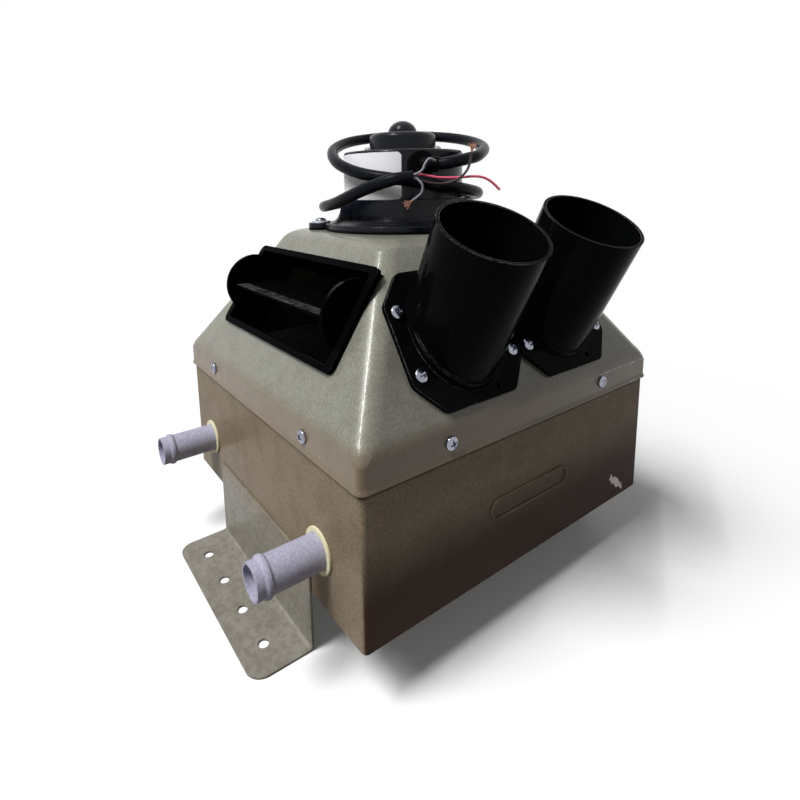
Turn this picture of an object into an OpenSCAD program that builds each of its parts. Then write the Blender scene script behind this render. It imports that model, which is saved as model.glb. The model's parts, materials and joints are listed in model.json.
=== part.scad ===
// Cab heater for a lorry. Hot coolant runs through a core in the lower case, a motor
// on the hood turns a blower wheel inside it, and warm air leaves through two duct
// spigots on the front slope and a swivelling outlet on the left slope.
// Lengths are in millimetres. X runs along the front face, Y to the back and Z up.
// The origin is the centre of the foot bolt pattern, on the undersides of the feet.

/* [Case] */
// Length of the case along its front face
case_w = 250; // [230:1:300]
// Depth of the case from front to back
case_d = 244; // [232:1:290]
// Height of the case wall that shows below the hood
case_h = 86; // [84:1:110]
// Thickness of the case and hood sheet
sheet_t = 1.2; // [0.8:0.1:2]
// Outer radius of the upright edges of the case
case_r = 3; // [2.5:0.5:8]
// Width of the flange that the case turns in at its bottom
case_flange = 14; // [8:1:18]

/* [Badge] */
// Length of the embossed badge rim
badge_w = 72; // [50:1:90]
// Height of the embossed badge rim
badge_h = 14; // [10:1:20]
// Width of the rim itself
badge_rim = 1.8; // [1:0.1:3]
// Height of the rim above the sheet
badge_rise = 0.9; // [0.4:0.1:1.5]
// Height of the badge centre above the case bottom
badge_up = 41; // [25:1:60]

/* [Hood] */
// Height of the band that laps over the case
band_h = 19; // [15:1:24]
// Height of the hood above the band
hood_h = 91; // [86:1:100]
// Lean of the four slopes from upright, in degrees
hood_slope = 33.4; // [32:0.1:35]
// Radius of the bend between the band and the slopes
hood_bend_r = 18; // [8:1:20]
// Flare of the band at its lower edge
band_flare = 0.8; // [0.4:0.1:1.2]
// Radius of the upright edges where the slopes begin
hood_foot_r = 12; // [5:1:14]
// Radius of the upright edges at the flat top
hood_head_r = 14; // [10:1:18]
// Radius between the slopes and the flat top
hood_fillet_r = 14; // [8:1:16]
// Clearance between the band and the case
hood_gap = 0.2; // [0.1:0.05:0.4]

/* [Foot brackets] */
// Height of the case bottom above the undersides of the feet
foot_drop = 38; // [30:1:60]
// Width of a foot outward from the case
foot_w = 38; // [34:1:60]
// Length of a bracket along the side of the case
foot_len = 138; // [124:1:144]
// Thickness of the bracket plate
foot_t = 1.5; // [1:0.1:3]
// Inner radius of the bend
foot_bend_r = 2; // [1:0.5:4]
// Radius of the outer corners of a foot
foot_corner_r = 10; // [4:1:14]
// Height over which a bracket laps the case side
web_lap = 19; // [10:1:20]
// Diameter of the bolt holes
bolt_d = 6.5; // [5:0.5:9]
// Spacing of the bolt holes along a foot
bolt_pitch = 32; // [24:1:34]
// Distance from the case side to the row of bolt holes
bolt_off = 22.5; // [16:0.5:26]

/* [Core and pipes] */
// Clearance between each tank and the side wall of the case
core_side_gap = 10.8; // [6:0.1:12]
// Clearance between a core in the middle and the front and back walls
core_end_gap = 13.8; // [12:0.1:20]
// Thickness of the core from bottom to top
core_t = 42; // [30:1:46]
// Width of each tank
tank_w = 20; // [14:1:22]
// Outer radius of the upright corners of a tank
tank_r = 5; // [2:1:8]
// Thickness of the tank walls
tank_t = 1.5; // [1:0.1:2.5]
// Number of flat tubes
tube_count = 14; // [8:1:20]
// Thickness of a flat tube
tube_t = 2.4; // [1.6:0.1:4]
// Number of folds in one strip of fins
fin_folds = 28; // [12:1:36]
// Thickness of the fin strip
fin_t = 0.4; // [0.2:0.1:0.8]
// Outer diameter of the hose pipes
pipe_d = 20; // [14:0.5:22]
// Wall of the hose pipes
pipe_t = 1.5; // [1:0.1:2.5]
// Reach of the hose pipes beyond the case side
pipe_out = 40; // [30:1:60]
// Spacing of the hose pipes
pipe_pitch = 167; // [163:1:172]
// Height of the hose pipes above the case bottom
pipe_up = 33.5; // [30:0.5:36]
// Offset of the core and its pipes to the back of the middle
core_shift = 3.5; // [-5:0.5:8]
// Height of the bead near the open end of a pipe
bead_h = 1.1; // [0.5:0.1:2]
// Width of the bead
bead_w = 5; // [3:0.5:8]
// Distance of the middle of the bead from the open end
bead_off = 7; // [5:0.5:10]
// Outer diameter of the rubber seal round a pipe
seal_d = 26; // [25:0.5:32]
// Thickness of each lip of the seal
seal_t = 1.6; // [1:0.1:3]
// Thickness of the foam on top of the core
foam_top_t = 6; // [3:1:10]
// Width of the foam strips
foam_w = 12; // [8:1:16]

/* [Fan pan] */
// Thickness of the pan that carries the inlet ring
pan_t = 1; // [0.8:0.1:1.5]
// Inner radius of the inlet ring at its top
inlet_r = 42; // [36:1:44]
// Height of the inlet ring above the pan floor
inlet_h = 62; // [40:1:63]

/* [Duct spigots] */
// Outer diameter of the spigots, which is the bore of the air hose
spigot_d = 60; // [50:1:62]
// Wall of the spigots
spigot_t = 2; // [1.5:0.1:3]
// Length of a spigot along its axis, from the slope
spigot_len = 70; // [50:1:90]
// Lean of a spigot upward from square to the slope, in degrees
spigot_tilt = 28.4; // [15:0.1:32]
// Lean of a spigot to the left, in degrees
spigot_lean = 4; // [-6:1:6]
// Distance of each spigot from the middle
spigot_off = 42.8; // [42.2:0.1:46]
// Distance of the spigots up the slope from the band
spigot_up = 46.3; // [44:0.1:52]
// Width of the flange plate
plate_w = 84; // [82:1:84]
// Height of the flange plate
plate_h = 81; // [80:1:84]
// Thickness of the flange plate
plate_t = 3; // [2:0.5:5]
// Spacing of the flange screws across
plate_screw_w = 70.6; // [69:0.1:72]
// Spacing of the flange screws up the slope
plate_screw_h = 35.7; // [34:0.1:38]
// Height of the collar round the foot of a spigot
collar_h = 4; // [2:0.5:8]
// Width of that collar
collar_w = 1.5; // [1:0.1:3]

/* [Side outlet] */
// Length of the outlet frame
frame_w = 154; // [145:1:156]
// Height of the outlet frame along the slope
frame_h = 64.5; // [60:0.5:66]
// Thickness of the frame plate
frame_t = 3.2; // [2:0.1:5]
// Width of the frame plate round the opening
frame_rim_w = 6; // [5:0.5:8]
// Width of the plate above and below the opening
frame_rim_h = 4.2; // [4:0.1:6]
// Distance of the outlet's middle up the slope from the band
frame_up = 59.4; // [57:0.1:61]
// Depth of the frame's box below the slope
frame_deep = 26; // [25:1:30]
// Wall of that box
frame_wall = 2; // [1.5:0.1:2.5]
// Radius of the end cheeks of the outlet drum
drum_r = 22; // [18:0.5:23]
// Thickness of a cheek
cheek_t = 3; // [2:0.1:4]
// Distance of the drum axis below the face of the frame
drum_sink = 5.1; // [4:0.1:8]
// Distance of the drum axis above the middle of the frame
drum_rise = 2.5; // [0:0.1:3]
// Half width of the vane
vane_r = 15; // [10:0.5:20]
// Thickness of the vane
vane_t = 2; // [1.5:0.1:3]

/* [Motor] */
// Diameter of the flange that closes the hood
flange_d = 116; // [116:1:120]
// Thickness of the flange plate
flange_t = 3.5; // [2.5:0.5:5]
// Thickness of the gasket below it
gasket_t = 1.5; // [1:0.1:3]
// Radius of the screw circle of the flange
ear_r = 61.5; // [60:0.5:64]
// Radius of each ear
ear_size = 9; // [8:0.5:11]
// Direction of the first ear, in degrees from X
ear_turn = 144; // [0:1:180]
// Height of the bell above the flange plate
bell_h = 17; // [12:1:22]
// Wall of the bell
bell_t = 2.5; // [1.5:0.1:3]
// Diameter of the motor can
can_d = 86; // [80:1:90]
// Height of the motor can with its end plate
can_h = 50; // [48:1:60]
// Wall of the motor can
can_t = 1.5; // [1:0.1:2]
// Thickness of the end plate
end_t = 2; // [1.5:0.1:3]
// Diameter of the cap on the end plate
cap_d = 48; // [40:1:56]
// Height of the cap
cap_h = 13; // [11:1:18]
// Radius of the round nub on the cap
nub_r = 10.5; // [8:0.5:12]
// Height of the nub
nub_h = 9; // [6:0.5:10]
// Diameter of the motor shaft
shaft_d = 6; // [5:0.5:8]
// Radial running clearance of the shaft in its bushes
bush_gap = 0.05; // [0.02:0.01:0.1]
// Radius of the armature
arm_r = 35; // [30:0.5:35.5]
// Number of slots in the armature
arm_slots = 12; // [8:1:16]
// Distance of the label's upper edge below the top of the can
label_edge = 2; // [1:0.5:8]
// Angle that the label wraps, in degrees
label_wrap = 106; // [60:1:150]

/* [Blower wheel] */
// Outer radius of the blower wheel
wheel_r = 54; // [50:0.5:54.5]
// Height of the blower wheel
wheel_h = 60; // [50:1:61]
// Number of blades
blade_count = 30; // [20:1:40]
// Thickness of a blade
blade_t = 1.4; // [1:0.1:2]
// Radial width of the row of blades
blade_w = 10; // [8:0.5:11]
// Distance of the top of the wheel below the top of the hood
wheel_drop = 6; // [5:0.5:8]
// Radial clearance of the wheel in the hole of the hood
wheel_gap = 2; // [1:0.5:2]

/* [Lead] */
// Diameter of the black sleeve round the wires
sleeve_d = 8; // [6:0.5:8.4]
// Diameter of each wire
wire_d = 1.6; // [1.4:0.1:2]
// Diameter of a bared wire end
strand_d = 1.2; // [0.8:0.1:1.6]
// Diameter of the grommet disc on the can
grommet_d = 18; // [14:1:24]
// Thickness of the grommet disc
grommet_t = 3; // [2:0.5:4]

/* [Screws] */
// Diameter of the screw shanks
screw_d = 3.5; // [3:0.1:4]
// Diameter of the screw heads
head_d = 8; // [6.5:0.1:9]
// Height of the screw heads
head_h = 2.4; // [1.8:0.1:3]
// Length of the screw shanks
screw_len = 9; // [8:0.5:12]
// Distance of the band screws from the middle of each side
lip_screw_off = 69; // [55:1:80]
// Diameter of the washers under the motor screws
washer_d = 14; // [10:0.5:16]
// Thickness of those washers
washer_t = 1.2; // [0.8:0.1:2]

/* [Hidden] */

$fn = 64;
// Overrun of every cut
overrun = 2;
// Facets of the modelled curves
edge_steps = 5;
fillet_steps = 5;
bend_steps = 3;

// Heights of the case and the hood
z_case = foot_drop;
z_lip = z_case + case_h;
z_crease = z_lip + band_h;
z_top = z_crease + hood_h;
z_pipe = z_case + pipe_up;
bend_reach = hood_bend_r * tan(hood_slope / 2);
case_lap = band_h - bend_reach;
band_x = case_w / 2 + hood_gap + sheet_t;
band_y = case_d / 2 + hood_gap + sheet_t;
band_r = case_r + hood_gap + sheet_t;
slope_len = hood_h / cos(hood_slope);

// Sizes of the core, and heights of the core, the foam and the pan
core_w = case_w - 2 * (sheet_t + core_side_gap + tank_w);
core_d = case_d - 2 * (sheet_t + core_end_gap);
core_z0 = z_pipe - core_t / 2;
core_z1 = z_pipe + core_t / 2;
pan_z = core_z1 + foam_top_t;
pan_gap = 0.3;
pan_x = case_w / 2 - sheet_t - pan_gap;
pan_y = case_d / 2 - sheet_t - pan_gap;
pan_r = case_r - sheet_t;
pan_top = z_lip + case_lap;
inlet_top = pan_z + inlet_h;

// Heights of the motor and the wheel
flange_z = z_top + gasket_t;
can_z = flange_z + flange_t;
can_top = can_z + can_h;
cap_top = can_top + cap_h;
can_r = can_d / 2;
shaft_r = shaft_d / 2;
shaft_top = can_top + 0.7 * cap_h;
wheel_top = z_top - wheel_drop;
wheel_z = wheel_top - wheel_h;
hub_r = 3 * shaft_r;
hub_h = wheel_h / 3;
shaft_low = wheel_top - hub_h - 2 * shaft_d / 2;
hood_hole_d = 2 * (wheel_r + wheel_gap);

// Turns the slopes' own frame, with its third axis square to the slope, into place
module on_front(up) {
    translate([0, -band_y, z_crease]) rotate([90 - hood_slope, 0, 0]) translate([0, up, 0]) children();
}
module on_left(up) {
    rotate([0, 0, -90]) translate([0, -band_x, z_crease]) rotate([90 - hood_slope, 0, 0])
        translate([0, up, 0]) children();
}

// Points of an outline whose corners are rounded with radius r
function unit(v) = v / norm(v);
function corner_arc(a, b, c, r) =
    let (u = unit(a - b), v = unit(c - b), half = acos(u * v) / 2, reach = r / tan(half),
         mid = b + unit(u + v) * r / sin(half), p = b + u * reach, q = b + v * reach,
         a0 = atan2(p[1] - mid[1], p[0] - mid[0]), a1 = atan2(q[1] - mid[1], q[0] - mid[0]),
         turn = (a1 - a0 > 180) ? a1 - a0 - 360 : (a1 - a0 < -180) ? a1 - a0 + 360 : a1 - a0)
    [for (i = [0:edge_steps]) mid + r * [cos(a0 + turn * i / edge_steps), sin(a0 + turn * i / edge_steps)]];
function rounded(points, r) =
    [for (i = [0:len(points) - 1])
        each corner_arc(points[(i + len(points) - 1) % len(points)], points[i], points[(i + 1) % len(points)], r)];
function oblong(w, h) = [[w / 2, h / 2], [-w / 2, h / 2], [-w / 2, -h / 2], [w / 2, -h / 2]];

// Square with round corners, and the box that stands on it
module round_square(w, d, r) {
    square([w - 2 * r, d], center = true);
    square([w, d - 2 * r], center = true);
    for (x = [-1, 1], y = [-1, 1]) translate([x * (w / 2 - r), y * (d / 2 - r)]) circle(r);
}
module round_box(w, d, h, r) {
    linear_extrude(h) round_square(w, d, r);
}
module ring(r_out, r_in, h) {
    difference() {
        cylinder(r = r_out, h = h);
        translate([0, 0, -overrun]) cylinder(r = r_in, h = h + 2 * overrun);
    }
}

// Pan head screw with a cross recess: its head stands on z = 0 and its shank goes down
recess_t = head_h / 3;
module screw(head = head_d, length = screw_len) {
    dome = head_h / 3;
    translate([0, 0, -length]) cylinder(d = screw_d, h = length + recess_t, $fn = 24);
    difference() {
        union() {
            cylinder(d = head, h = head_h - dome, $fn = 32);
            translate([0, 0, head_h - dome]) cylinder(d1 = head, d2 = 0.7 * head, h = dome, $fn = 32);
        }
        for (turn = [0, 90]) rotate([0, 0, turn])
            translate([-0.3 * head, -recess_t / 2, head_h - recess_t]) cube([0.6 * head, recess_t, recess_t + overrun]);
    }
}

// Places of the screws
lip_screw_z = z_lip + band_h / 2;
module at_lip_screws() {
    for (side = [-1, 1], off = [-1, 1]) {
        translate([off * lip_screw_off, side * band_y, lip_screw_z]) rotate([-side * 90, 0, 0]) children();
        translate([side * band_x, off * lip_screw_off, lip_screw_z]) rotate([0, side * 90, 0]) children();
    }
}
module at_plate_screws() {
    for (x = [-1, 1], y = [-1, 1]) translate([x * plate_screw_w / 2, y * plate_screw_h / 2, 0]) children();
}
module at_ears() {
    for (i = [0:2]) rotate([0, 0, ear_turn + 120 * i]) translate([ear_r, 0, 0]) children();
}

// Lower case: a box of sheet, open at the top, with a flange turned in round its bottom
seal_neck = 1.5;
pipe_hole_d = pipe_d + 2 * seal_neck;
module at_pipes() {
    for (side = [-1, 1]) translate([-case_w / 2, core_shift + side * pipe_pitch / 2, z_pipe]) rotate([0, -90, 0]) children();
}
module badge() {
    root = sheet_t / 2;
    translate([0, root - case_d / 2, z_case + badge_up]) rotate([90, 0, 0]) linear_extrude(root + badge_rise)
        difference() {
            round_square(badge_w, badge_h, 0.49 * badge_h);
            round_square(badge_w - 2 * badge_rim, badge_h - 2 * badge_rim, 0.49 * (badge_h - 2 * badge_rim));
        }
}
module case_body() {
    color([0.42, 0.40, 0.36]) {
        difference() {
            translate([0, 0, z_case]) round_box(case_w, case_d, case_h + case_lap, case_r);
            translate([0, 0, z_case + sheet_t])
                round_box(case_w - 2 * sheet_t, case_d - 2 * sheet_t, case_h + band_h, case_r - sheet_t);
            translate([0, 0, z_case - overrun])
                round_box(case_w - 2 * case_flange, case_d - 2 * case_flange, sheet_t + 2 * overrun, case_r);
            at_pipes() translate([0, 0, -2 * overrun]) cylinder(d = pipe_hole_d, h = 4 * overrun);
            at_lip_screws() translate([0, 0, -4 * overrun]) cylinder(d = screw_d, h = 5 * overrun, $fn = 24);
        }
        badge();
    }
}

// Foot bracket: a plate that laps the case side, goes down and turns outward into a foot
module foot_bracket() {
    inner = case_w / 2;
    bend_x = inner + foot_t + foot_bend_r;
    bend_z = foot_t + foot_bend_r;
    difference() {
        union() {
            translate([inner, -foot_len / 2, bend_z]) cube([foot_t, foot_len, z_case + web_lap - bend_z]);
            translate([bend_x, foot_len / 2, bend_z]) rotate([90, 0, 0]) linear_extrude(foot_len)
                intersection() {
                    difference() {
                        circle(foot_bend_r + foot_t);
                        circle(foot_bend_r);
                    }
                    translate([-bend_z, -bend_z]) square(bend_z);
                }
            translate([bend_x, 0, 0]) linear_extrude(foot_t) union() {
                reach = inner + foot_w - bend_x;
                translate([0, -foot_len / 2]) square([reach - foot_corner_r, foot_len]);
                translate([0, foot_corner_r - foot_len / 2]) square([reach, foot_len - 2 * foot_corner_r]);
                for (side = [-1, 1])
                    translate([reach - foot_corner_r, side * (foot_len / 2 - foot_corner_r)]) circle(foot_corner_r);
            }
        }
        for (i = [-1.5:1:1.5])
            translate([inner + bolt_off, i * bolt_pitch, -overrun]) cylinder(d = bolt_d, h = foot_t + 2 * overrun);
    }
}
module foot_bracket_left() {
    color([0.42, 0.41, 0.37]) mirror([1, 0, 0]) foot_bracket();
}
module foot_bracket_right() {
    color([0.42, 0.41, 0.37]) foot_bracket();
}

// Hood: a drawn shell with a band, four slopes that round into each other, and a flat top
function hood_row(a, b, r, z) =
    [for (c = [0:3], j = [0:edge_steps])
        let (q = 90 * (c + j / edge_steps), sx = (c == 0 || c == 3) ? 1 : -1, sy = (c < 2) ? 1 : -1)
        [sx * (a - r) + r * cos(q), sy * (b - r) + r * sin(q), z]];
flare_h_share = 0.16;
fillet_growth_share = 0.4;
function hood_rows(t, low) =
    let (a = band_x - t, b = band_y - t, top = z_top - t, fillet = hood_fillet_r - t,
         inset = (top - z_crease) * tan(hood_slope), touch = fillet * tan((90 - hood_slope) / 2),
         lip_r = band_r - t, foot_r = hood_foot_r - t, head_r = hood_head_r - t,
         bend = hood_bend_r - t, bend_z = z_crease - bend * tan(hood_slope / 2))
    concat(
        [hood_row(a + band_flare, b + band_flare, lip_r + band_flare, z_lip - low)],
        (low > 0) ? [hood_row(a + band_flare, b + band_flare, lip_r + band_flare, z_lip)] : [],
        [hood_row(a, b, lip_r, z_lip + flare_h_share * band_h)],
        [for (i = [0:bend_steps])
            let (q = hood_slope * i / bend_steps, in = bend * (1 - cos(q)))
            hood_row(a - in, b - in, lip_r + (foot_r - lip_r) * i / bend_steps, bend_z + bend * sin(q))],
        [for (i = [0:fillet_steps])
            let (q = hood_slope + (90 - hood_slope) * i / fillet_steps,
                 in = inset + touch - fillet * cos(q), z = top - fillet + fillet * sin(q))
            hood_row(a - in, b - in, head_r + (in - inset) * fillet_growth_share, z)]);
module lofted(rows) {
    n = len(rows[0]);
    m = len(rows);
    polyhedron(
        points = [for (row = rows) each row],
        faces = concat(
            [[for (j = [0:n - 1]) j]],
            [for (i = [0:m - 2], j = [0:n - 1])
                [i * n + j, (i + 1) * n + j, (i + 1) * n + (j + 1) % n, i * n + (j + 1) % n]],
            [[for (j = [n - 1:-1:0]) (m - 1) * n + j]]));
}
window_w = frame_w - 2 * frame_rim_w;
window_h = frame_h - 2 * frame_rim_h;
window_gap = 0.4;
module spigot_axis() {
    rotate([-spigot_tilt, 0, 0]) rotate([0, -spigot_lean, 0]) children();
}
module hood() {
    color([0.45, 0.44, 0.40]) difference() {
        lofted(hood_rows(0, 0));
        lofted(hood_rows(sheet_t, overrun));
        translate([0, 0, z_top - 2 * overrun]) cylinder(d = hood_hole_d, h = 4 * overrun, $fn = 96);
        at_ears() translate([0, 0, z_top - 2 * overrun]) cylinder(d = screw_d, h = 4 * overrun, $fn = 24);
        at_lip_screws() translate([0, 0, -4 * overrun]) cylinder(d = screw_d, h = 5 * overrun, $fn = 24);
        for (side = [-1, 1]) on_front(spigot_up) translate([side * spigot_off, 0, 0]) {
            spigot_axis() translate([0, 0, -spigot_d / 2]) cylinder(d = spigot_d - 2 * spigot_t, h = spigot_d);
            at_plate_screws() translate([0, 0, -2 * overrun]) cylinder(d = screw_d, h = 4 * overrun, $fn = 24);
        }
        on_left(frame_up) translate([0, 0, 0]) cube(
            [window_w + 2 * (frame_wall + window_gap), window_h + 2 * (frame_wall + window_gap), 12 * overrun],
            center = true);
    }
}

// Fan pan: a tray inside the case, with a ring that leads the air into the wheel
module fan_pan() {
    wide_r = inlet_r + 8 * pan_t;
    color([0.55, 0.55, 0.53]) difference() {
        union() {
            difference() {
                translate([0, 0, pan_z]) round_box(2 * pan_x, 2 * pan_y, pan_top - pan_z, pan_r);
                translate([0, 0, pan_z + pan_t])
                    round_box(2 * (pan_x - pan_t), 2 * (pan_y - pan_t), pan_top - pan_z, pan_r - pan_t / 2);
            }
            translate([0, 0, pan_z]) cylinder(r1 = wide_r + pan_t, r2 = inlet_r + pan_t, h = inlet_h);
        }
        translate([0, 0, pan_z]) cylinder(r1 = wide_r, r2 = inlet_r, h = inlet_h);
        translate([0, 0, pan_z - overrun]) cylinder(r = wide_r, h = 2 * overrun);
        translate([0, 0, inlet_top - overrun]) cylinder(r = inlet_r, h = 2 * overrun);
        at_lip_screws() translate([0, 0, -5 * overrun]) cylinder(d = screw_d, h = 6 * overrun, $fn = 24);
    }
}

// Core: two tanks, flat tubes between them, folded fins between the tubes, and side plates
module tank(side) {
    translate([side * (core_w + tank_w) / 2, core_shift, core_z0]) difference() {
        round_box(tank_w, core_d, core_t, tank_r);
        translate([0, 0, tank_t]) round_box(tank_w - 2 * tank_t, core_d - 2 * tank_t, core_t - 2 * tank_t, tank_r - tank_t);
    }
}
tube_space = (core_d - 2 * tank_r) / tube_count;
tube_h = core_t - 4 * tank_t;
module core_tank_feed() {
    color([0.62, 0.60, 0.52]) difference() {
        union() {
            tank(-1);
            translate([-(core_w + tank_w) / 2, core_shift, z_pipe])
                cube([tank_w - 2 * tank_t, tank_t, core_t - 2 * tank_t], center = true);
        }
        for (side = [-1, 1]) translate([-(core_w / 2 + tank_w) - overrun, core_shift + side * pipe_pitch / 2, z_pipe])
            rotate([0, 90, 0]) cylinder(d = pipe_d, h = tank_t + overrun);
    }
}
module core_tank_return() {
    color([0.62, 0.60, 0.52]) tank(1);
}
module core_tubes() {
    color([0.66, 0.62, 0.50]) for (i = [0:tube_count - 1])
        translate([0, core_shift + (i + 0.5 - tube_count / 2) * tube_space, z_pipe]) rotate([0, 90, 0])
            translate([0, 0, -core_w / 2]) linear_extrude(core_w) difference() {
                round_square(tube_h, tube_t, 0.45 * tube_t);
                round_square(tube_h - tube_t / 2, tube_t / 2, 0.2 * tube_t);
            }
}
// One strip of fins: a zigzag between two tubes, as wide as the gap
function zigzag(side, high) =
    [for (i = [0:2 * fin_folds])
        [(i / (2 * fin_folds) - 0.5) * (core_w - 2 * fin_t), ((i % 2 == 0) ? -1 : 1) * (high / 2 - fin_t) + side * fin_t]];
module core_fins() {
    high = tube_space - tube_t;
    color([0.70, 0.66, 0.55]) for (i = [0:tube_count - 2])
        translate([0, core_shift + (i + 1 - tube_count / 2) * tube_space, z_pipe - tube_h / 2]) linear_extrude(tube_h)
            polygon(concat(zigzag(-1, high), [for (j = [2 * fin_folds:-1:0]) zigzag(1, high)[j]]));
}
module core_side_plates() {
    edge = (tube_count / 2 - 0.5) * tube_space + tube_t / 2;
    color([0.60, 0.58, 0.50]) for (side = [-1, 1]) translate([0, core_shift + side * (edge + core_d / 2) / 2, z_pipe])
        difference() {
            cube([core_w, core_d / 2 - edge, core_t], center = true);
            translate([0, side * tank_t, 0]) cube([core_w + overrun, core_d / 2 - edge, core_t - 2 * tank_t], center = true);
        }
}

// Foam strips that seal the core against the case flange and the pan
module foam(h) {
    difference() {
        round_box(core_w + 2 * tank_w, core_d, h, tank_r);
        translate([0, 0, -overrun]) round_box(core_w + 2 * (tank_w - foam_w), core_d - 2 * foam_w, h + 2 * overrun, tank_r);
    }
}
module core_foam_lower() {
    color([0.16, 0.16, 0.16]) translate([0, core_shift, z_case + sheet_t]) foam(core_z0 - z_case - sheet_t);
}
module core_foam_upper() {
    color([0.16, 0.16, 0.16]) translate([0, core_shift, core_z1]) foam(foam_top_t);
}

// Hose pipe with a bead near its open end, and the rubber seal that it passes through
module pipe(side) {
    start = core_w / 2 + tank_w - tank_t;
    length = case_w / 2 + pipe_out - start;
    pipe_r = pipe_d / 2;
    bead_z = length - bead_off - bead_w / 2;
    soft = bead_w / 3;
    color([0.66, 0.66, 0.70]) translate([-start, core_shift + side * pipe_pitch / 2, z_pipe]) rotate([0, -90, 0])
        difference() {
            union() {
                cylinder(r = pipe_r, h = length);
                translate([0, 0, bead_z]) cylinder(r1 = pipe_r, r2 = pipe_r + bead_h, h = soft);
                translate([0, 0, bead_z + soft]) cylinder(r = pipe_r + bead_h, h = soft);
                translate([0, 0, bead_z + 2 * soft]) cylinder(r1 = pipe_r + bead_h, r2 = pipe_r, h = soft);
            }
            translate([0, 0, -overrun]) cylinder(r = pipe_r - pipe_t, h = length + 2 * overrun);
        }
}
module inlet_pipe() {
    pipe(-1);
}
module outlet_pipe() {
    pipe(1);
}
module seal(side) {
    color([0.86, 0.84, 0.70]) translate([-case_w / 2, core_shift + side * pipe_pitch / 2, z_pipe]) rotate([0, -90, 0])
        difference() {
            union() {
                cylinder(d = seal_d, h = seal_t);
                translate([0, 0, -sheet_t]) cylinder(d = pipe_hole_d, h = sheet_t + seal_t);
                translate([0, 0, -sheet_t - seal_t]) cylinder(d = seal_d, h = seal_t);
            }
            translate([0, 0, -sheet_t - seal_t - overrun]) cylinder(d = pipe_d, h = sheet_t + 2 * seal_t + 2 * overrun);
        }
}
module inlet_seal() {
    seal(-1);
}
module outlet_seal() {
    seal(1);
}

// Screws that hold the hood and the pan to the case
module lip_screws() {
    color([0.80, 0.80, 0.82]) at_lip_screws() screw();
}

// Duct spigot: an eight sided flange plate, a collar and a tube that leans upward
plate_cut_w_share = 0.19;
plate_cut_h_share = 0.22;
plate_r_share = 0.08;
module spigot_plate_outline() {
    w = plate_w / 2;
    h = plate_h / 2;
    cw = w - plate_cut_w_share * plate_w;
    ch = h - plate_cut_h_share * plate_h;
    polygon(rounded([[w, ch], [cw, h], [-cw, h], [-w, ch], [-w, -ch], [-cw, -h], [cw, -h], [w, -ch]], plate_r_share * plate_w));
}
spare_hole_share = [0.16, -0.43];
module spigot(side) {
    spigot_r = spigot_d / 2;
    color([0.06, 0.06, 0.07]) on_front(spigot_up) translate([side * spigot_off, 0, 0]) difference() {
        union() {
            linear_extrude(plate_t) spigot_plate_outline();
            intersection() {
                spigot_axis() translate([0, 0, -spigot_d]) cylinder(r = spigot_r + collar_w, h = 3 * spigot_d);
                translate([-spigot_d, -spigot_d, 0]) cube([2 * spigot_d, 2 * spigot_d, plate_t + collar_h]);
            }
            intersection() {
                spigot_axis() translate([0, 0, -spigot_d]) cylinder(r = spigot_r, h = spigot_d + spigot_len);
                translate([-spigot_d, -spigot_len, 0]) cube([2 * spigot_d, 4 * spigot_len, 2 * spigot_len]);
            }
        }
        spigot_axis() translate([0, 0, -spigot_d]) cylinder(r = spigot_r - spigot_t, h = 2 * spigot_d + spigot_len);
        at_plate_screws() translate([0, 0, -overrun]) cylinder(d = screw_d, h = plate_t + 2 * overrun, $fn = 24);
        translate([spare_hole_share[0] * plate_w, spare_hole_share[1] * plate_h, -overrun])
            cylinder(d = screw_d, h = plate_t + 2 * overrun, $fn = 24);
    }
}
module spigot_left() {
    spigot(-1);
}
module spigot_right() {
    spigot(1);
}
module spigot_screws() {
    color([0.80, 0.80, 0.82]) for (side = [-1, 1]) on_front(spigot_up) translate([side * spigot_off, 0, plate_t])
        at_plate_screws() screw();
}

// Side outlet: a frame with a box behind it, and a drum of two cheeks and a vane
drum_z = frame_t - drum_sink;
pin_r = 1.2 * vane_t;
cheek_gap = 1;
cheek_x = window_w / 2 - cheek_gap;
frame_corner_r = 5;
window_r = frame_rim_h / 2;
module outlet_frame() {
    color([0.05, 0.05, 0.05]) on_left(frame_up) difference() {
        union() {
            linear_extrude(frame_t) polygon(rounded(oblong(frame_w, frame_h), frame_corner_r));
            translate([0, 0, -frame_deep]) linear_extrude(frame_deep)
                polygon(rounded(oblong(window_w + 2 * frame_wall, window_h + 2 * frame_wall), window_r + frame_wall));
        }
        translate([0, 0, -frame_deep - overrun]) linear_extrude(frame_deep + frame_t + 2 * overrun)
            polygon(rounded(oblong(window_w, window_h), window_r));
        translate([-frame_w / 2, drum_rise, drum_z]) rotate([0, 90, 0]) cylinder(r = pin_r + bush_gap, h = frame_w, $fn = 32);
    }
}
module outlet_drum() {
    color([0.10, 0.10, 0.10]) on_left(frame_up) translate([0, drum_rise, drum_z]) {
        for (side = [0, 1]) mirror([side, 0, 0]) {
            translate([cheek_x - cheek_t, 0, 0]) rotate([0, 90, 0]) cylinder(r = drum_r, h = cheek_t);
            translate([cheek_x, 0, 0]) rotate([0, 90, 0]) cylinder(r = pin_r, h = cheek_gap + frame_wall, $fn = 32);
        }
        rotate([hood_slope, 0, 0]) translate([-cheek_x + cheek_t / 2, -vane_t / 2, -vane_r])
            cube([2 * cheek_x - cheek_t, vane_t, 2 * vane_r]);
    }
}

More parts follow.
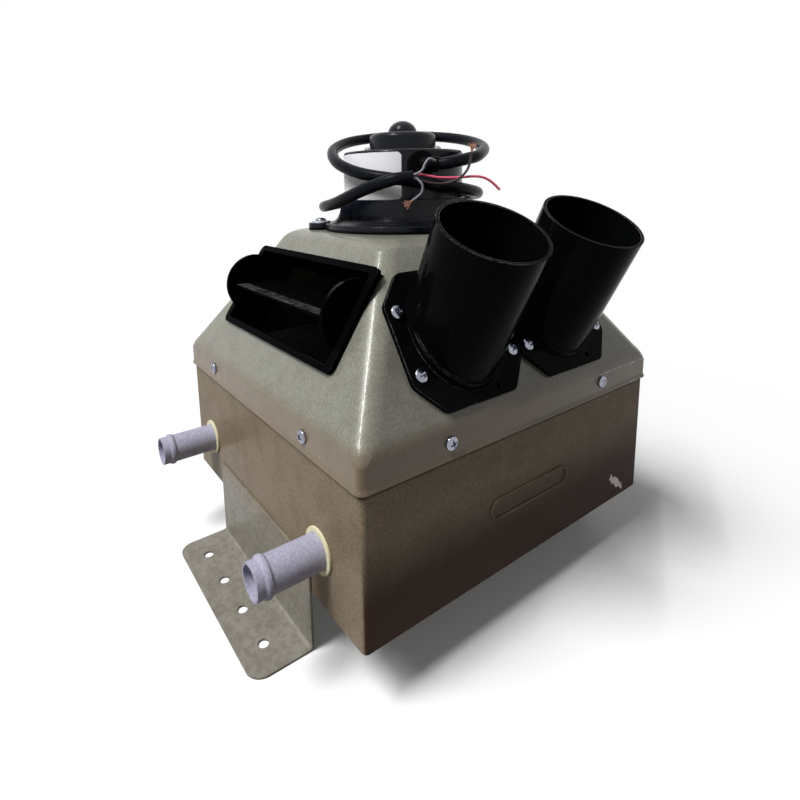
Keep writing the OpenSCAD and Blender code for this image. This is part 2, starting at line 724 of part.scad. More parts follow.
// Motor flange: a plate with three ears that closes the hood, and a bell up to the can
module ear_outline(r) {
    circle(r);
    at_ears() circle(ear_size);
}
module motor_gasket() {
    color([0.05, 0.05, 0.05]) translate([0, 0, z_top]) difference() {
        linear_extrude(gasket_t) difference() {
            ear_outline(flange_d / 2);
            circle(d = hood_hole_d - 4 * bell_t);
        }
        at_ears() translate([0, 0, -overrun]) cylinder(d = screw_d, h = gasket_t + 2 * overrun, $fn = 24);
    }
}
washer_gap = 0.3;
bell_foot_r = ear_r - washer_d / 2 - washer_gap;
bell_head_r = can_r + bell_t;
module motor_flange() {
    color([0.07, 0.07, 0.08]) difference() {
        union() {
            translate([0, 0, flange_z]) linear_extrude(flange_t) ear_outline(flange_d / 2);
            translate([0, 0, can_z]) rotate_extrude() polygon(concat(
                [[can_r, 0]],
                [for (i = [0:fillet_steps]) let (q = 90 * i / fillet_steps)
                    [bell_head_r + (bell_foot_r - bell_head_r) * (1 - sin(q)), bell_h * (1 - cos(q))]],
                [[can_r, bell_h]]));
        }
        translate([0, 0, flange_z - overrun]) cylinder(r = 2 * shaft_d, h = flange_t + 2 * overrun);
        at_ears() translate([0, 0, flange_z - overrun]) cylinder(d = screw_d, h = flange_t + 2 * overrun, $fn = 24);
    }
}

// Motor can: a steel cup with a hole for the grommet, closed by an end plate and a cap
grommet_turn = -113;
grommet_z = can_z + 0.79 * can_h;
grommet_hole_d = 0.6 * grommet_d;
can_inner_r = can_r - can_t;
module motor_can() {
    color([0.08, 0.08, 0.09]) translate([0, 0, can_z]) difference() {
        rotate_extrude() polygon([[0, 0], [can_r, 0], [can_r, can_h - end_t], [0, can_h - end_t]]);
        translate([0, 0, can_t]) cylinder(r = can_inner_r, h = can_h);
        translate([0, 0, -overrun]) cylinder(r = hub_r / 2 + shaft_r, h = can_t + 2 * overrun);
        translate([0, 0, grommet_z - can_z]) rotate([0, 0, grommet_turn]) rotate([0, 90, 0])
            cylinder(d = grommet_hole_d, h = can_d);
    }
}
module motor_end_plate() {
    color([0.08, 0.08, 0.09]) translate([0, 0, can_top - end_t]) difference() {
        rotate_extrude() polygon(concat([[0, 0], [can_r, 0]],
            [for (i = [0:fillet_steps]) let (q = 90 * i / fillet_steps) [can_r - end_t + end_t * cos(q), end_t * sin(q)]],
            [[0, end_t]]));
        translate([0, 0, -overrun]) cylinder(r = hub_r, h = end_t + 2 * overrun);
        at_can_screws() translate([0, 0, -overrun]) cylinder(d = screw_d, h = end_t + 2 * overrun, $fn = 24);
    }
}
bush_r = hub_r / 2 + shaft_r;
module motor_cap() {
    cap_r = cap_d / 2;
    soft = 2 * end_t;
    color([0.07, 0.07, 0.08]) translate([0, 0, can_top]) difference() {
        rotate_extrude() polygon(concat([[0, 0], [cap_r, 0]],
            [for (i = [0:fillet_steps]) let (q = 90 * i / fillet_steps)
                [cap_r - soft + soft * cos(q), cap_h - soft + soft * sin(q)]],
            [for (i = [0:fillet_steps]) let (q = 90 * i / fillet_steps) [nub_r * cos(q), cap_h + nub_h * sin(q)]]));
        translate([0, 0, -overrun]) cylinder(r = bush_r, h = 0.8 * cap_h + overrun);
    }
}
can_screw_r = (can_r + cap_d / 2) / 2;
can_screw_turn = 6;
module at_can_screws() {
    for (i = [0:3]) rotate([0, 0, can_screw_turn + 90 * i]) translate([can_screw_r, 0, 0]) children();
}
module can_screws() {
    color([0.70, 0.70, 0.72]) translate([0, 0, can_top]) at_can_screws() screw(0.6 * head_d, end_t + holder_t);
}

// Blank paper label, wrapped on the can
label_turn = 124;
label_t = 0.3;
module motor_label() {
    color([0.93, 0.93, 0.93]) translate([0, 0, can_z + bell_h]) rotate([0, 0, label_turn])
        rotate_extrude(angle = label_wrap) translate([can_r, 0]) square([label_t, can_h - bell_h - label_edge]);
}

// Inside the motor: two magnets, two bushes, brushes, and the armature on its shaft
magnet_t = 4.2;
magnet_h = 34;
magnet_span = 140;
module motor_magnets() {
    color([0.22, 0.22, 0.24]) for (turn = [0, 180]) rotate([0, 0, turn - magnet_span / 2])
        translate([0, 0, can_z + 2 * magnet_t]) rotate_extrude(angle = magnet_span)
            translate([can_inner_r - magnet_t, 0]) square([magnet_t, magnet_h]);
}
bush_h = 6;
module bush(z) {
    color([0.70, 0.52, 0.30]) translate([0, 0, z]) ring(bush_r, shaft_r + bush_gap, bush_h);
}
module motor_bush_lower() {
    bush(can_z);
}
module motor_bush_upper() {
    bush(can_top);
}
arm_z = can_z + bush_h + magnet_t;
arm_h = 22;
wind_h = 4;
com_r = 11;
com_z = arm_z + arm_h + wind_h;
com_h = 9;
holder_t = 1.6;
brush_w = 5;
brush_gap = 0.3;
module armature_core() {
    slot_w = 3;
    color([0.45, 0.45, 0.47]) translate([0, 0, arm_z]) linear_extrude(arm_h) difference() {
        circle(arm_r);
        circle(shaft_r);
        for (i = [0:arm_slots - 1]) rotate(360 * i / arm_slots) {
            translate([0.55 * arm_r, -slot_w]) square([0.35 * arm_r, 2 * slot_w]);
            translate([0.8 * arm_r, -slot_w / 2]) square([arm_r, slot_w]);
        }
    }
}
module armature_windings() {
    color([0.72, 0.38, 0.18]) for (z = [arm_z - wind_h, arm_z + arm_h]) translate([0, 0, z])
        ring(0.9 * arm_r, 0.45 * arm_r, wind_h);
}
module commutator() {
    color([0.75, 0.45, 0.25]) translate([0, 0, com_z - wind_h]) ring(com_r, shaft_r, com_h + wind_h);
}
holder_z = can_top - end_t - holder_t;
module brush_holder() {
    color([0.35, 0.22, 0.12]) translate([0, 0, holder_z]) difference() {
        ring(can_inner_r, com_r + 2 * brush_gap, holder_t);
        at_can_screws() translate([0, 0, -overrun]) cylinder(d = screw_d, h = holder_t + 2 * overrun, $fn = 24);
    }
}
module motor_brushes() {
    color([0.15, 0.15, 0.16]) for (side = [0, 1]) mirror([side, 0, 0])
        translate([com_r + brush_gap, -brush_w / 2, holder_z - brush_w]) cube([2 * brush_w, brush_w, brush_w]);
}
module motor_shaft() {
    color([0.75, 0.75, 0.77]) translate([0, 0, shaft_low]) cylinder(r = shaft_r, h = shaft_top - shaft_low);
}

// Blower wheel: a plate with a hub, a row of curved blades that hang from it, and a rim ring
disc_t = 2;
rim_w = 4;
curve_r = 0.9 * blade_w;
module blades() {
    for (i = [0:blade_count - 1]) rotate(360 * i / blade_count) intersection() {
        translate([wheel_r - blade_w, -curve_r]) square([blade_w - blade_t / 2, 2 * curve_r]);
        translate([wheel_r - 0.6 * blade_w, curve_r]) difference() {
            circle(curve_r + blade_t / 2);
            circle(curve_r - blade_t / 2);
        }
    }
}
module blower_wheel() {
    color([0.30, 0.30, 0.31]) difference() {
        union() {
            translate([0, 0, wheel_top - disc_t]) cylinder(r = wheel_r, h = disc_t);
            translate([0, 0, wheel_top - hub_h]) cylinder(r = hub_r, h = hub_h);
            translate([0, 0, wheel_z + rim_w / 2]) linear_extrude(wheel_h - rim_w / 2 - disc_t / 2) blades();
            translate([0, 0, wheel_z]) ring(wheel_r, wheel_r - rim_w, rim_w);
        }
        translate([0, 0, wheel_z]) cylinder(r = shaft_r, h = 2 * wheel_h);
    }
}
module blower_nut() {
    nut_h = 0.8 * shaft_d;
    color([0.75, 0.75, 0.77]) translate([0, 0, wheel_top - hub_h - nut_h]) difference() {
        cylinder(r = shaft_d, h = nut_h, $fn = 6);
        translate([0, 0, -overrun]) cylinder(r = shaft_r, h = nut_h + 2 * overrun);
    }
}

// Screws and washers that hold the motor flange
module motor_washers() {
    color([0.80, 0.80, 0.82]) translate([0, 0, can_z]) at_ears() ring(washer_d / 2, screw_d / 2, washer_t);
}
module motor_screws() {
    color([0.80, 0.80, 0.82]) translate([0, 0, can_z + washer_t]) at_ears() screw();
}

// Grommet: a disc on the can, with a nose that leads the sleeve off to the side
nose_turn = 60;
nose_len = 12;
nose_wall = 1;
nose_r = sleeve_d / 2 + nose_wall;
module at_grommet() {
    translate([0, 0, grommet_z]) rotate([0, 0, grommet_turn]) rotate([0, 90, 0]) children();
}
module lead_grommet() {
    color([0.04, 0.04, 0.04]) union() {
        difference() {
            at_grommet() union() {
                translate([0, 0, can_r - grommet_t]) cylinder(d = grommet_d, h = 2 * grommet_t);
                translate([0, 0, can_r + grommet_t / 2]) rotate([-nose_turn, 0, 0]) cylinder(r = nose_r, h = nose_len);
            }
            translate([0, 0, can_z]) cylinder(r = can_r, h = can_h);
        }
        difference() {
            at_grommet() translate([0, 0, can_inner_r - can_t]) cylinder(d = grommet_hole_d, h = 2 * can_t);
            translate([0, 0, can_z]) cylinder(r = can_inner_r, h = can_h);
        }
    }
}

// Places along the lead, chosen by hand
sleeve_route = [[-10.2, -50.5, 278.5], [-5.5, -56, 279.3], [6, -58.5, 281.5], [19, -56.5, 284], [41, -41, 290],
    [53.5, -19.5, 296], [56, 5, 301], [48, 28, 304], [32, 44.5, 305],
    [9.5, 53, 303], [-14, 51, 299], [-33, 40, 293], [-44, 25.5, 287],
    [-50, 7, 280], [-48, -13, 274], [-40, -30, 270.5], [-26, -43, 268],
    [-7, -50, 265], [13.5, -50, 262], [33, -42.5, 259.5], [48.5, -26, 257.5],
    [55.5, -4, 256], [53, 19.5, 255], [41, 40, 254.5], [20, 54, 253.5],
    [-5, 58, 252.5], [-28, 52, 251], [-43.5, 40, 250.5], [-52.5, 23, 251.5],
    [-56.5, 4, 254], [-56.5, -15, 259], [-52, -31, 264.5], [-43, -43.5, 269],
    [-33, -51, 270.5]];
red_route = [[-32.3, -49.9, 271.8], [-30.7, -51.1, 272], [-27, -54.5, 271.5], [-20, -60, 269.8],
    [-11, -66, 269.5], [0, -74, 270], [6, -78.5, 267.5], [11.5, -82.5, 261.5]];
grey_routes = [
    [[-33.9, -51.9, 271.8], [-32.3, -53.1, 272], [-29, -55.3, 274.5], [-27.5, -56.5, 278.5],
        [-25, -57.5, 281.3], [-21.5, -59, 280]],
    [[-32.1, -50, 269.2], [-30.5, -51.2, 269.4], [-25, -57, 266.8], [-18.5, -62.5, 266],
        [-12.5, -69, 268.3], [-6, -71.5, 274.5], [-3, -72, 285]],
    [[-33.7, -52.1, 269.2], [-32.1, -53.3, 269.4], [-29.5, -55.8, 265.5], [-29.5, -55, 260.5], [-33.5, -51.5, 256]]];
end_routes = [[[-3, -72, 285], [-2.8, -72.2, 288.5]], [[-33.5, -51.5, 256], [-36.2, -49.5, 253.8]]];

// Smooth curve through the places, and a tube swept along it
function curve_point(p, i, t) =
    let (n = len(p) - 1, a = (i > 0) ? p[i - 1] : 2 * p[0] - p[1], b = p[i], c = p[i + 1],
         d = (i + 2 <= n) ? p[i + 2] : 2 * p[n] - p[n - 1])
    0.5 * (2 * b + (c - a) * t + (2 * a - 5 * b + 4 * c - d) * t * t + (3 * b - a - 3 * c + d) * t * t * t);
function curve(p, steps) =
    concat([for (i = [0:len(p) - 2], j = [0:steps - 1]) curve_point(p, i, j / steps)], [p[len(p) - 1]]);
function heading(c, i) = unit(c[min(i + 1, len(c) - 1)] - c[max(i - 1, 0)]);
function square_to(v, t) = unit(v - (v * t) * t);
function sides_of(c) =
    [for (i = 0, v = square_to([0.3, 0.2, 1], heading(c, 0)); i < len(c);
         i = i + 1, v = (i < len(c)) ? square_to(v, heading(c, i)) : v) v];
module tube(c, d, n) {
    v = sides_of(c);
    lofted([for (i = [0:len(c) - 1]) let (w = cross(heading(c, i), v[i]))
        [for (j = [0:n - 1]) let (q = -360 * j / n) c[i] + d / 2 * (cos(q) * v[i] + sin(q) * w)]]);
}
sleeve_curve = curve(sleeve_route, 2);
function path_length(c) = norm_sum([for (i = [0:len(c) - 2]) norm(c[i + 1] - c[i])], 0);
function norm_sum(v, i) = (i >= len(v)) ? 0 : v[i] + norm_sum(v, i + 1);
echo(sleeve_length = path_length(sleeve_curve));
echo(sleeve_least_gap = min([for (i = [0:len(sleeve_curve) - 1], j = [i + 8:1:len(sleeve_curve) - 1])
    norm(sleeve_curve[i] - sleeve_curve[j])]) - sleeve_d);
module lead_sleeve() {
    color([0.05, 0.05, 0.05]) tube(sleeve_curve, sleeve_d, 8);
}
module grey_wires() {
    color([0.55, 0.55, 0.56]) for (route = grey_routes) tube(curve(route, 2), wire_d, 8);
}
module red_wire() {
    color([0.85, 0.25, 0.35]) tube(curve(red_route, 2), wire_d, 8);
}
module wire_ends() {
    color([0.75, 0.42, 0.28]) for (route = end_routes) tube(route, strand_d, 8);
}

case_body();
foot_bracket_left();
foot_bracket_right();
hood();
fan_pan();
core_tank_feed();
core_tank_return();
core_tubes();
core_fins();
core_side_plates();
core_foam_lower();
core_foam_upper();
inlet_pipe();
outlet_pipe();
inlet_seal();
outlet_seal();
lip_screws();
spigot_left();
spigot_right();
spigot_screws();
outlet_frame();
outlet_drum();
motor_gasket();
motor_flange();
motor_can();
motor_end_plate();
motor_cap();
motor_label();
motor_magnets();
motor_bush_lower();
motor_bush_upper();
brush_holder();
motor_brushes();
armature_core();
armature_windings();
commutator();
motor_shaft();
blower_wheel();
blower_nut();
motor_screws();
motor_washers();
can_screws();
lead_grommet();
lead_sleeve();
grey_wires();
red_wire();
wire_ends();
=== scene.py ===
"""Looks of a hot-water cab heater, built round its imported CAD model.

The lower case is a sheet box on two foot brackets. A sloped hood closes it and carries two
duct spigots, a side outlet with a swinging vane, and the blower motor with its lead.
Small screws, the lead, the label and the hood's skin are built here; the other pieces are
the CAD model's own, with finishes and rounded edges.
Everything is in metres, in the frame of the CAD model: X along the front face, Y to the
back, Z up, with the origin between the feet.
"""

import json
import logging
import math
from dataclasses import dataclass, field
from enum import Enum
from typing import Callable, Iterable, Optional, Sequence

import bmesh
import bpy
from mathutils import Matrix, Vector

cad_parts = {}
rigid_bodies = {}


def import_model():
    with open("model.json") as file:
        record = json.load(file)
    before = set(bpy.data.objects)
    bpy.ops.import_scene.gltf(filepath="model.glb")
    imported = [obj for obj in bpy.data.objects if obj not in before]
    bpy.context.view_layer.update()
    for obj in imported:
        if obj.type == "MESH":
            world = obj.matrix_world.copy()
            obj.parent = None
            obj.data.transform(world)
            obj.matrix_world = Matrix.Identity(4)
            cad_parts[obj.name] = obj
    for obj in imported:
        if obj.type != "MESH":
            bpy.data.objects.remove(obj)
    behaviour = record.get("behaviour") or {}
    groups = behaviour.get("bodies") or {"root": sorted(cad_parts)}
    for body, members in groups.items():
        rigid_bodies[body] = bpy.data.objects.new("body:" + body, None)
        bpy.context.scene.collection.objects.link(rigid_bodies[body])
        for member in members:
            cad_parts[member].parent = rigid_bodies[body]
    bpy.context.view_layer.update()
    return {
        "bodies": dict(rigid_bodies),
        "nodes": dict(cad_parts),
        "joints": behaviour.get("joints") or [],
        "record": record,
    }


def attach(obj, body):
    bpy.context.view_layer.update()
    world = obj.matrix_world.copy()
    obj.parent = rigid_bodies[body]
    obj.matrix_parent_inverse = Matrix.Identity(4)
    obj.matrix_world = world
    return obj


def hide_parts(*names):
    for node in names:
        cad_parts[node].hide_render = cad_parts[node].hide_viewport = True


LOG = logging.getLogger("cab_heater")

MM = 0.001
LOOK = "look_"
Point = tuple[float, float, float]
Colour = tuple[float, float, float]
Socket = bpy.types.NodeSocket
Sockets = dict[str, Socket]


def srgb(red: int, green: int, blue: int) -> Colour:
    """Turns a colour as seen on screen into linear light.

    Args:
        red: Red, 0 to 255.
        green: Green, 0 to 255.
        blue: Blue, 0 to 255.

    Returns:
        The same colour in linear light, 0 to 1.
    """

    def one(value: int) -> float:
        """Turns one channel."""
        share = value / 255
        return share / 12.92 if share <= 0.04045 else ((share + 0.055) / 1.055) ** 2.4

    return one(red), one(green), one(blue)


def moved(x: float, y: float, z: float) -> Matrix:
    """Gives a shift as a matrix."""
    return Matrix.Translation((x, y, z))


def spun(angle: float, axis: str) -> Matrix:
    """Gives a turn of so many degrees about an axis as a matrix."""
    return Matrix.Rotation(math.radians(angle), 4, axis)


def put(name: str, data: bpy.types.ID) -> bpy.types.Object:
    """Makes an object of its data and puts it into the scene.

    Args:
        name: The object's name.
        data: Its mesh, lamp or camera.

    Returns:
        The object.
    """
    made = bpy.data.objects.new(name, data)
    bpy.context.scene.collection.objects.link(made)
    return made


# Camera and light


@dataclass(frozen=True)
class CameraSpec:
    """The camera as solved from the object's straight edges and its round parts."""

    place: Point = (-0.2489, -0.3096, 0.2667)
    right: Point = (0.8089, -0.5876, -0.0191)
    down: Point = (-0.1141, -0.1250, -0.9856)
    forward: Point = (0.5767, 0.7994, -0.1682)
    focal_px: float = 530.7
    centre_px: tuple[float, float] = (376.6, 274.2)
    frame_px: int = 800

    def build(self) -> bpy.types.Object:
        """Makes the camera and sets it as the scene's.

        Returns:
            The camera object.
        """
        data = bpy.data.cameras.new("camera")
        data.sensor_width = 36.0
        data.lens = 36.0 * self.focal_px / self.frame_px
        data.shift_x = (self.frame_px / 2 - self.centre_px[0]) / self.frame_px
        data.shift_y = (self.centre_px[1] - self.frame_px / 2) / self.frame_px
        data.clip_start = 0.01
        data.clip_end = 50.0
        camera = put("camera", data)
        turn = Matrix((self.right, [-v for v in self.down], [-v for v in self.forward])).transposed()
        camera.matrix_world = Matrix.Translation(self.place) @ turn.to_4x4()
        bpy.context.scene.camera = camera
        return camera


@dataclass(frozen=True)
class Lamp:
    """One soft area lamp that looks at the object: a disc, or a strip when it has a length."""

    name: str
    place: Point
    size: float
    power: float
    mirrored: bool = True
    aim: Point = (0.0, 0.0, 0.15)
    length: float = 0.0
    along: Point = (0.0, 0.0, 1.0)

    def build(self) -> None:
        """Makes the lamp."""
        data = bpy.data.lights.new(self.name, "AREA")
        data.shape = "RECTANGLE" if self.length else "DISK"
        data.size = self.length or self.size
        data.size_y = self.size
        data.energy = self.power
        lamp = put(self.name, data)
        back = (Vector(self.place) - Vector(self.aim)).normalized()
        up = back.cross(Vector(self.along)).normalized()
        turn = Matrix((up.cross(back), up, back)).transposed()
        lamp.matrix_world = Matrix.Translation(self.place) @ turn.to_4x4()
        lamp.visible_glossy = self.mirrored


@dataclass
class Studio:
    """White room: a pale floor that keeps the shadow, soft lamps and a white background."""

    floor_size: float = 12.0
    floor_for_light: Colour = (0.22, 0.21, 0.19)
    floor_for_eye: Colour = (0.97, 0.97, 0.97)
    white_from: float = 0.12
    white_to: float = 0.6
    least_white: float = 0.06
    world_level: float = 0.11
    lamps: list[Lamp] = field(
        default_factory=lambda: [
            Lamp("key", (-2.4, 0.24, 3.45), 2.1, 132.0, mirrored=False),
            Lamp("glow", (-1.75, 0.1, 2.85), 0.7, 14.0),
            Lamp("glint", (-1.38, -0.16, 2.4), 0.04, 30.0, length=1.2, along=(0.729, 0.531, 0.433)),
            Lamp("rim", (1.6, 1.8, 1.7), 1.2, 5.0, mirrored=False),
        ]
    )

    def build(self) -> None:
        """Makes the floor, the lamps and the world."""
        scene = bpy.context.scene
        scene.view_settings.view_transform = "Standard"
        bpy.ops.mesh.primitive_plane_add(size=self.floor_size, location=(0, 0, 0))
        floor = bpy.context.object
        floor.name = "floor"
        floor.data.materials.append(self.floor_material())
        for lamp in self.lamps:
            lamp.build()
        self.world()

    def floor_material(self) -> bpy.types.Material:
        """Makes the floor's pale finish: it keeps the shadow near the object and ends in white.

        Returns:
            The material.
        """
        graph = Graph("studio_floor")
        seen = graph.seen()
        near = graph.node("ShaderNodeBsdfDiffuse")
        graph.link(graph.mix(seen, self.floor_for_light, self.floor_for_eye), near.inputs["Color"])
        white = graph.node("ShaderNodeEmission")
        flat = graph.node("ShaderNodeVectorMath", operation="MULTIPLY")
        flat.inputs[1].default_value = (1, 1, 0)
        graph.link(graph.coords(), flat.inputs[0])
        away = graph.node("ShaderNodeVectorMath", operation="LENGTH")
        graph.link(flat.outputs[0], away.inputs[0])
        white_share = graph.ramp(away.outputs["Value"], self.white_from, self.white_to)
        fade = graph.times(graph.math("MAXIMUM", white_share, self.least_white), seen)
        both = graph.node("ShaderNodeMixShader")
        graph.link(fade, both.inputs[0])
        graph.link(near.outputs[0], both.inputs[1])
        graph.link(white.outputs[0], both.inputs[2])
        graph.surface(both.outputs[0])
        return graph.material

    def world(self) -> None:
        """Makes a white background for the camera and for reflections, and a calm ambient light."""
        world = bpy.data.worlds.new("studio")
        bpy.context.scene.world = world
        world.use_nodes = True
        tree = world.node_tree
        tree.nodes.clear()
        path = tree.nodes.new("ShaderNodeLightPath")
        seen = tree.nodes.new("ShaderNodeMath")
        through = tree.nodes.new("ShaderNodeMath")
        seen.operation = through.operation = "MAXIMUM"
        level = tree.nodes.new("ShaderNodeMapRange")
        level.inputs["To Min"].default_value = self.world_level
        level.inputs["To Max"].default_value = 1.0
        light = tree.nodes.new("ShaderNodeBackground")
        light.inputs["Color"].default_value = (1, 1, 1, 1)
        out = tree.nodes.new("ShaderNodeOutputWorld")
        for source, target in (
            (path.outputs["Is Camera Ray"], seen.inputs[0]),
            (path.outputs["Is Glossy Ray"], seen.inputs[1]),
            (seen.outputs[0], through.inputs[0]),
            (path.outputs["Is Transmission Ray"], through.inputs[1]),
            (through.outputs[0], level.inputs["Value"]),
            (level.outputs["Result"], light.inputs["Strength"]),
            (light.outputs[0], out.inputs["Surface"]),
        ):
            tree.links.new(source, target)


# Materials


class Graph:
    """A material's node graph, with the few helpers that the finishes need."""

    def __init__(self, name: str) -> None:
        """Starts an empty material.

        Args:
            name: The material's name.
        """
        self.material = bpy.data.materials.new(LOOK + name)
        self.material.use_nodes = True
        self.tree = self.material.node_tree
        self.tree.nodes.clear()
        self._coords: Optional[Socket] = None

    def node(self, kind: str, **settings: object) -> bpy.types.Node:
        """Adds a node.

        Args:
            kind: Blender's name of the node type.
            **settings: Properties to set on it.

        Returns:
            The node.
        """
        made = self.tree.nodes.new(kind)
        for key, value in settings.items():
            setattr(made, key, value)
        return made

    def link(self, source: Socket, target: Socket) -> None:
        """Joins two sockets.

        Args:
            source: Output socket.
            target: Input socket.
        """
        self.tree.links.new(source, target)

    def surface(self, socket: Socket) -> None:
        """Ends the graph in the material output.

        Args:
            socket: The shader to show.
        """
        self.link(socket, self.node("ShaderNodeOutputMaterial").inputs["Surface"])

    def coords(self) -> Socket:
        """Gives the object's own coordinates, in metres.

        Returns:
            The socket.
        """
        if self._coords is None:
            self._coords = self.node("ShaderNodeTexCoord").outputs["Object"]
        return self._coords

    def seen(self) -> Socket:
        """Tells the rays that show a thing from the rays that light one.

        Returns:
            1 for camera, mirror and glass rays, 0 for the rest.
        """
        path = self.node("ShaderNodeLightPath").outputs
        shown = self.math("MAXIMUM", path["Is Camera Ray"], path["Is Glossy Ray"])
        return self.math("MAXIMUM", shown, path["Is Transmission Ray"])

    def noise(self, scale: float, detail: float = 3.0, roughness: float = 0.5) -> Socket:
        """Adds a noise value.

        Args:
            scale: Features per metre.
            detail: Octaves.
            roughness: How strong the small octaves are.

        Returns:
            The value socket, about 0 to 1.
        """
        made = self.node("ShaderNodeTexNoise")
        made.inputs["Scale"].default_value = scale
        made.inputs["Detail"].default_value = detail
        made.inputs["Roughness"].default_value = roughness
        self.link(self.coords(), made.inputs["Vector"])
        return made.outputs["Fac"]

    def ramp(self, value: Socket, low: float, high: float) -> Socket:
        """Stretches a value so that low becomes 0 and high becomes 1.

        Args:
            value: The input.
            low: What becomes 0.
            high: What becomes 1.

        Returns:
            The clamped result.
        """
        made = self.node("ShaderNodeMapRange", interpolation_type="SMOOTHSTEP")
        made.inputs["From Min"].default_value = low
        made.inputs["From Max"].default_value = high
        self.link(value, made.inputs["Value"])
        return made.outputs["Result"]

    def math(self, operation: str, *values: object) -> Socket:
        """Adds a sum of two or three values.

        Args:
            operation: Blender's name of the operation.
            *values: Sockets or numbers.

        Returns:
            The result.
        """
        made = self.node("ShaderNodeMath", operation=operation)
        for slot, value in zip(made.inputs, values):
            if isinstance(value, (int, float)):
                slot.default_value = value
            else:
                self.link(value, slot)
        return made.outputs[0]

    def times(self, *values: object) -> Socket:
        """Multiplies sockets or numbers, from the first to the last."""
        made = values[0]
        for value in values[1:]:
            made = self.math("MULTIPLY", made, value)
        return made

    def mix(self, share: object, first: object, second: object) -> Socket:
        """Mixes two colours.

        Args:
            share: Socket or number; 0 gives the first colour.
            first: Colour or socket.
            second: Colour or socket.

        Returns:
            The mixed colour.
        """
        made = self.node("ShaderNodeMix", data_type="RGBA")
        for number, value in ((0, share), (6, first), (7, second)):
            socket = made.inputs[number]
            if isinstance(value, (int, float)):
                socket.default_value = value
            elif isinstance(value, tuple):
                socket.default_value = (*value, 1)
            else:
                self.link(value, socket)
        return made.outputs[2]

    def edges(self, radius: float) -> Socket:
        """Finds convex and concave edges from the change in the surface's direction near them.

        Args:
            radius: How far from an edge the change reaches.

        Returns:
            0 on flat surfaces, rising towards edges.
        """
        soft = self.node("ShaderNodeBevel", samples=6)
        soft.inputs["Radius"].default_value = radius
        hard = self.node("ShaderNodeNewGeometry")
        dot = self.node("ShaderNodeVectorMath", operation="DOT_PRODUCT")
        self.link(soft.outputs[0], dot.inputs[0])
        self.link(hard.outputs["Normal"], dot.inputs[1])
        return self.math("SUBTRACT", 1.0, dot.outputs["Value"])

    def axes(self, vector: Socket) -> Sockets:
        """Splits a vector.

        Args:
            vector: The vector's socket.

        Returns:
            Its parts, by axis: X, Y and Z.
        """
        split = self.node("ShaderNodeSeparateXYZ")
        self.link(vector, split.inputs[0])
        return {axis: split.outputs[axis] for axis in "XYZ"}

    def uneven(self, noise: Socket, spread: float, middle: float) -> Socket:
        """Spreads a noise round a middle value.

        Args:
            noise: The noise, about 0 to 1.
            spread: How much of it shows.
            middle: The value that it goes up and down from.

        Returns:
            The sum.
        """
        off = self.math("MULTIPLY", self.math("SUBTRACT", noise, 0.5), spread)
        return self.math("ADD", off, middle)

    def bump(self, height: Socket, depth: float, strength: float) -> Socket:
        """Turns a height into a surface direction.

        Args:
            height: The height, 0 to 1.
            depth: Real height of the relief, in metres.
            strength: Share of it that shows.

        Returns:
            The normal socket.
        """
        made = self.node("ShaderNodeBump")
        made.inputs["Strength"].default_value = strength
        made.inputs["Distance"].default_value = depth
        self.link(height, made.inputs["Height"])
        return made.outputs["Normal"]


